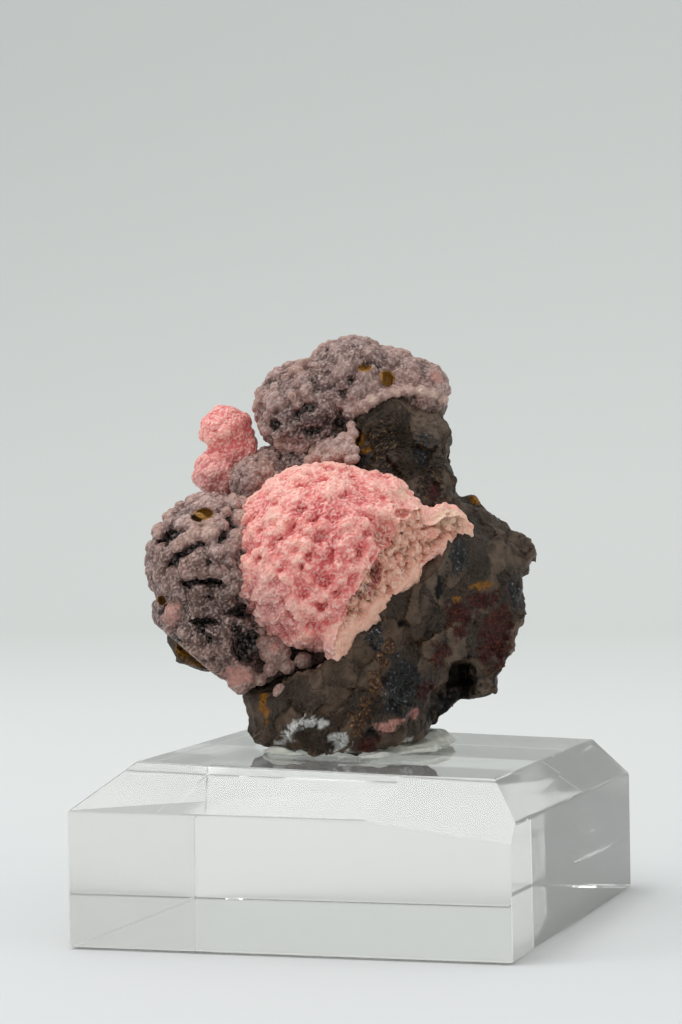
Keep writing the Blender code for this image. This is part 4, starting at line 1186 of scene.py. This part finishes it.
putty = new_material("mineral_putty")
where = add(putty, "TexCoord", take=OBJECT)
mm = add(putty, "Mapping", Vector=where, Scale=METRES_TO_MM)
cloud = add(putty, "TexNoise", Vector=mm, Scale=PUTTY_CLOUDS_PER_MM, Detail=3.0)
tone = add(putty, "ValToRGB", {"stops": ((0.3, "c2c2b6"), (0.7, "e4e4da"))}, Fac=cloud)
fill(putty, putty.node_tree.nodes["Principled BSDF"], {
    "Base Color": tone, "Roughness": 0.35, "IOR": 1.45,
    "Subsurface Weight": 0.5, "Subsurface Scale": 0.002, "Subsurface Radius": (1.0, 1.0, 0.9),
})
tack = merged_copy("mineral_tack", "pressed_putty")
one_skin(tack, PUTTY_FACES)
finish_with(tack, "SMOOTH", factor=0.5, iterations=3)
spots = points_of(tack)
folds = np.array([noise.noise(Vector((x * 0.16, y * 0.5, z * 1.6))) for x, y, z in spots])
inward = PULLED_IN + folds * FOLD_DEPTH
move_points(tack, spots + normals_of(tack) * np.minimum(inward, MOST_OUT)[:, None])
tack.data.materials.append(putty)
choose(tack)
bpy.ops.object.shade_smooth()
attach(tack, "root")
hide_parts("mineral_tack")
print("putty faces:", len(tack.data.polygons))

# %% [markdown]
# ## The studio floor
# The object stands on a pale sweep of paper: a floor that bends up into a back wall, so that no
# corner shows. It is one strip of faces over a profile of points.
# %% The paper sweep
SWEEP_WIDTH = 3.0
SWEEP_FRONT = -1.2
SWEEP_REAR = 0.75
SWEEP_BEND = 0.35
SWEEP_TOP = 1.6
FLOOR_GAP = 0.0003
BEND_STEPS = 12

bpy.ops.object.select_all(action="DESELECT")
bpy.ops.mesh.primitive_plane_add(size=1.0)
floor = bpy.context.object
floor.name = "paper_sweep"
profile = [(SWEEP_FRONT, 0.0), (SWEEP_REAR, 0.0)]
for step in range(1, BEND_STEPS + 1):
    angle = math.radians(90 * step / BEND_STEPS)
    profile.append((SWEEP_REAR + SWEEP_BEND * math.sin(angle), SWEEP_BEND * (1 - math.cos(angle))))
profile.append((SWEEP_REAR + SWEEP_BEND, SWEEP_TOP))
bpy.ops.object.mode_set(mode="EDIT")
bpy.ops.mesh.select_all(action="SELECT")
bpy.ops.mesh.delete(type="VERT")
bpy.ops.object.mode_set(mode="OBJECT")
rows = [[(x, y, z - FLOOR_GAP) for y, z in profile] for x in (-SWEEP_WIDTH / 2, SWEEP_WIDTH / 2)]
count = len(profile)
faces = [(i, i + count, i + count + 1, i + 1) for i in range(count - 1)]
floor.data.from_pydata(rows[0] + rows[1], [], faces)
choose(floor)
bpy.ops.object.shade_smooth()
print("the sweep has", len(floor.data.polygons), "faces")

# %% [markdown]
# The paper is matte. Its tone follows the way along the sweep, floor first and wall last, so
# that it is brightest behind the object and falls off softly towards the top: painted light on
# plain white paper.
# %% Matte paper
PAPER_FROM = -0.2
PAPER_TO = 1.6

paper = new_material("white_paper")
where = add(paper, "TexCoord", take=OBJECT)
backward = add(paper, "SeparateXYZ", take=1, Vector=where)
rising = add(paper, "SeparateXYZ", take=2, Vector=where)
along = add(paper, "Math", {"operation": "ADD"}, _0=backward, _1=rising)
share = add(paper, "MapRange", Value=along, From_Min=PAPER_FROM, From_Max=PAPER_TO)
tone = add(paper, "ValToRGB", {"stops": (
    (0.0, "d8dada"), (0.12, "dbdddd"), (0.3, "e5e7e6"), (0.5, "eaecea"), (0.67, "e5e7e5"),
    (0.85, "dadddb"), (1.0, "d3d6d4"),
)}, Fac=share)
fill(paper, paper.node_tree.nodes["Principled BSDF"], {
    "Base Color": tone, "Roughness": 0.9, "Specular IOR Level": 0.1,
})
floor.data.materials.append(paper)
print("paper has", len(paper.node_tree.nodes), "nodes")

# %% [markdown]
# ## Surround and lights
# Most of the light comes from a pale surround on all sides, as in a light tent. Two soft lamps,
# one above and a weaker one to the left, give the shapes their modelling. Light that enters a
# clear block is sent round inside it many times, so more bounces than usual are allowed.
# %% Surround, lamps and bounces
SURROUND_COLOUR = "dddfdf"
SURROUND_STRENGTH = 1.08
AIM = (0, 0, 0.05)
BOUNCES = 32

surround = bpy.data.worlds.new("surround")
bpy.context.scene.world = surround
surround.use_nodes = True
surround.node_tree.nodes["Background"].inputs["Color"].default_value = colour(SURROUND_COLOUR)
surround.node_tree.nodes["Background"].inputs["Strength"].default_value = SURROUND_STRENGTH


def soft_light(name, spot, aim, size, power):
    """A square soft light at a place, aimed at another, in metres and watts."""
    bpy.ops.object.light_add(type="AREA", location=spot)
    lamp = bpy.context.object
    lamp.name = name
    lamp.data.size = size
    lamp.data.energy = power
    way = Vector(spot) - Vector(aim)
    lamp.rotation_euler = way.to_track_quat("Z", "Y").to_euler()


soft_light("light_above", (-0.15, -0.15, 0.8), AIM, 0.40, 2.2)
soft_light("light_left", (-0.6, -0.4, 0.5), AIM, 0.3, 0.8)
bpy.context.scene.view_settings.view_transform = "Standard"
bpy.context.scene.cycles.max_bounces = BOUNCES
bpy.context.scene.cycles.transmission_bounces = BOUNCES

# %% [markdown]
# ## The pattern bead
# The first bead was only a pattern, so it goes.
# %% Removing the pattern bead
bpy.data.objects.remove(bead, do_unlink=True)
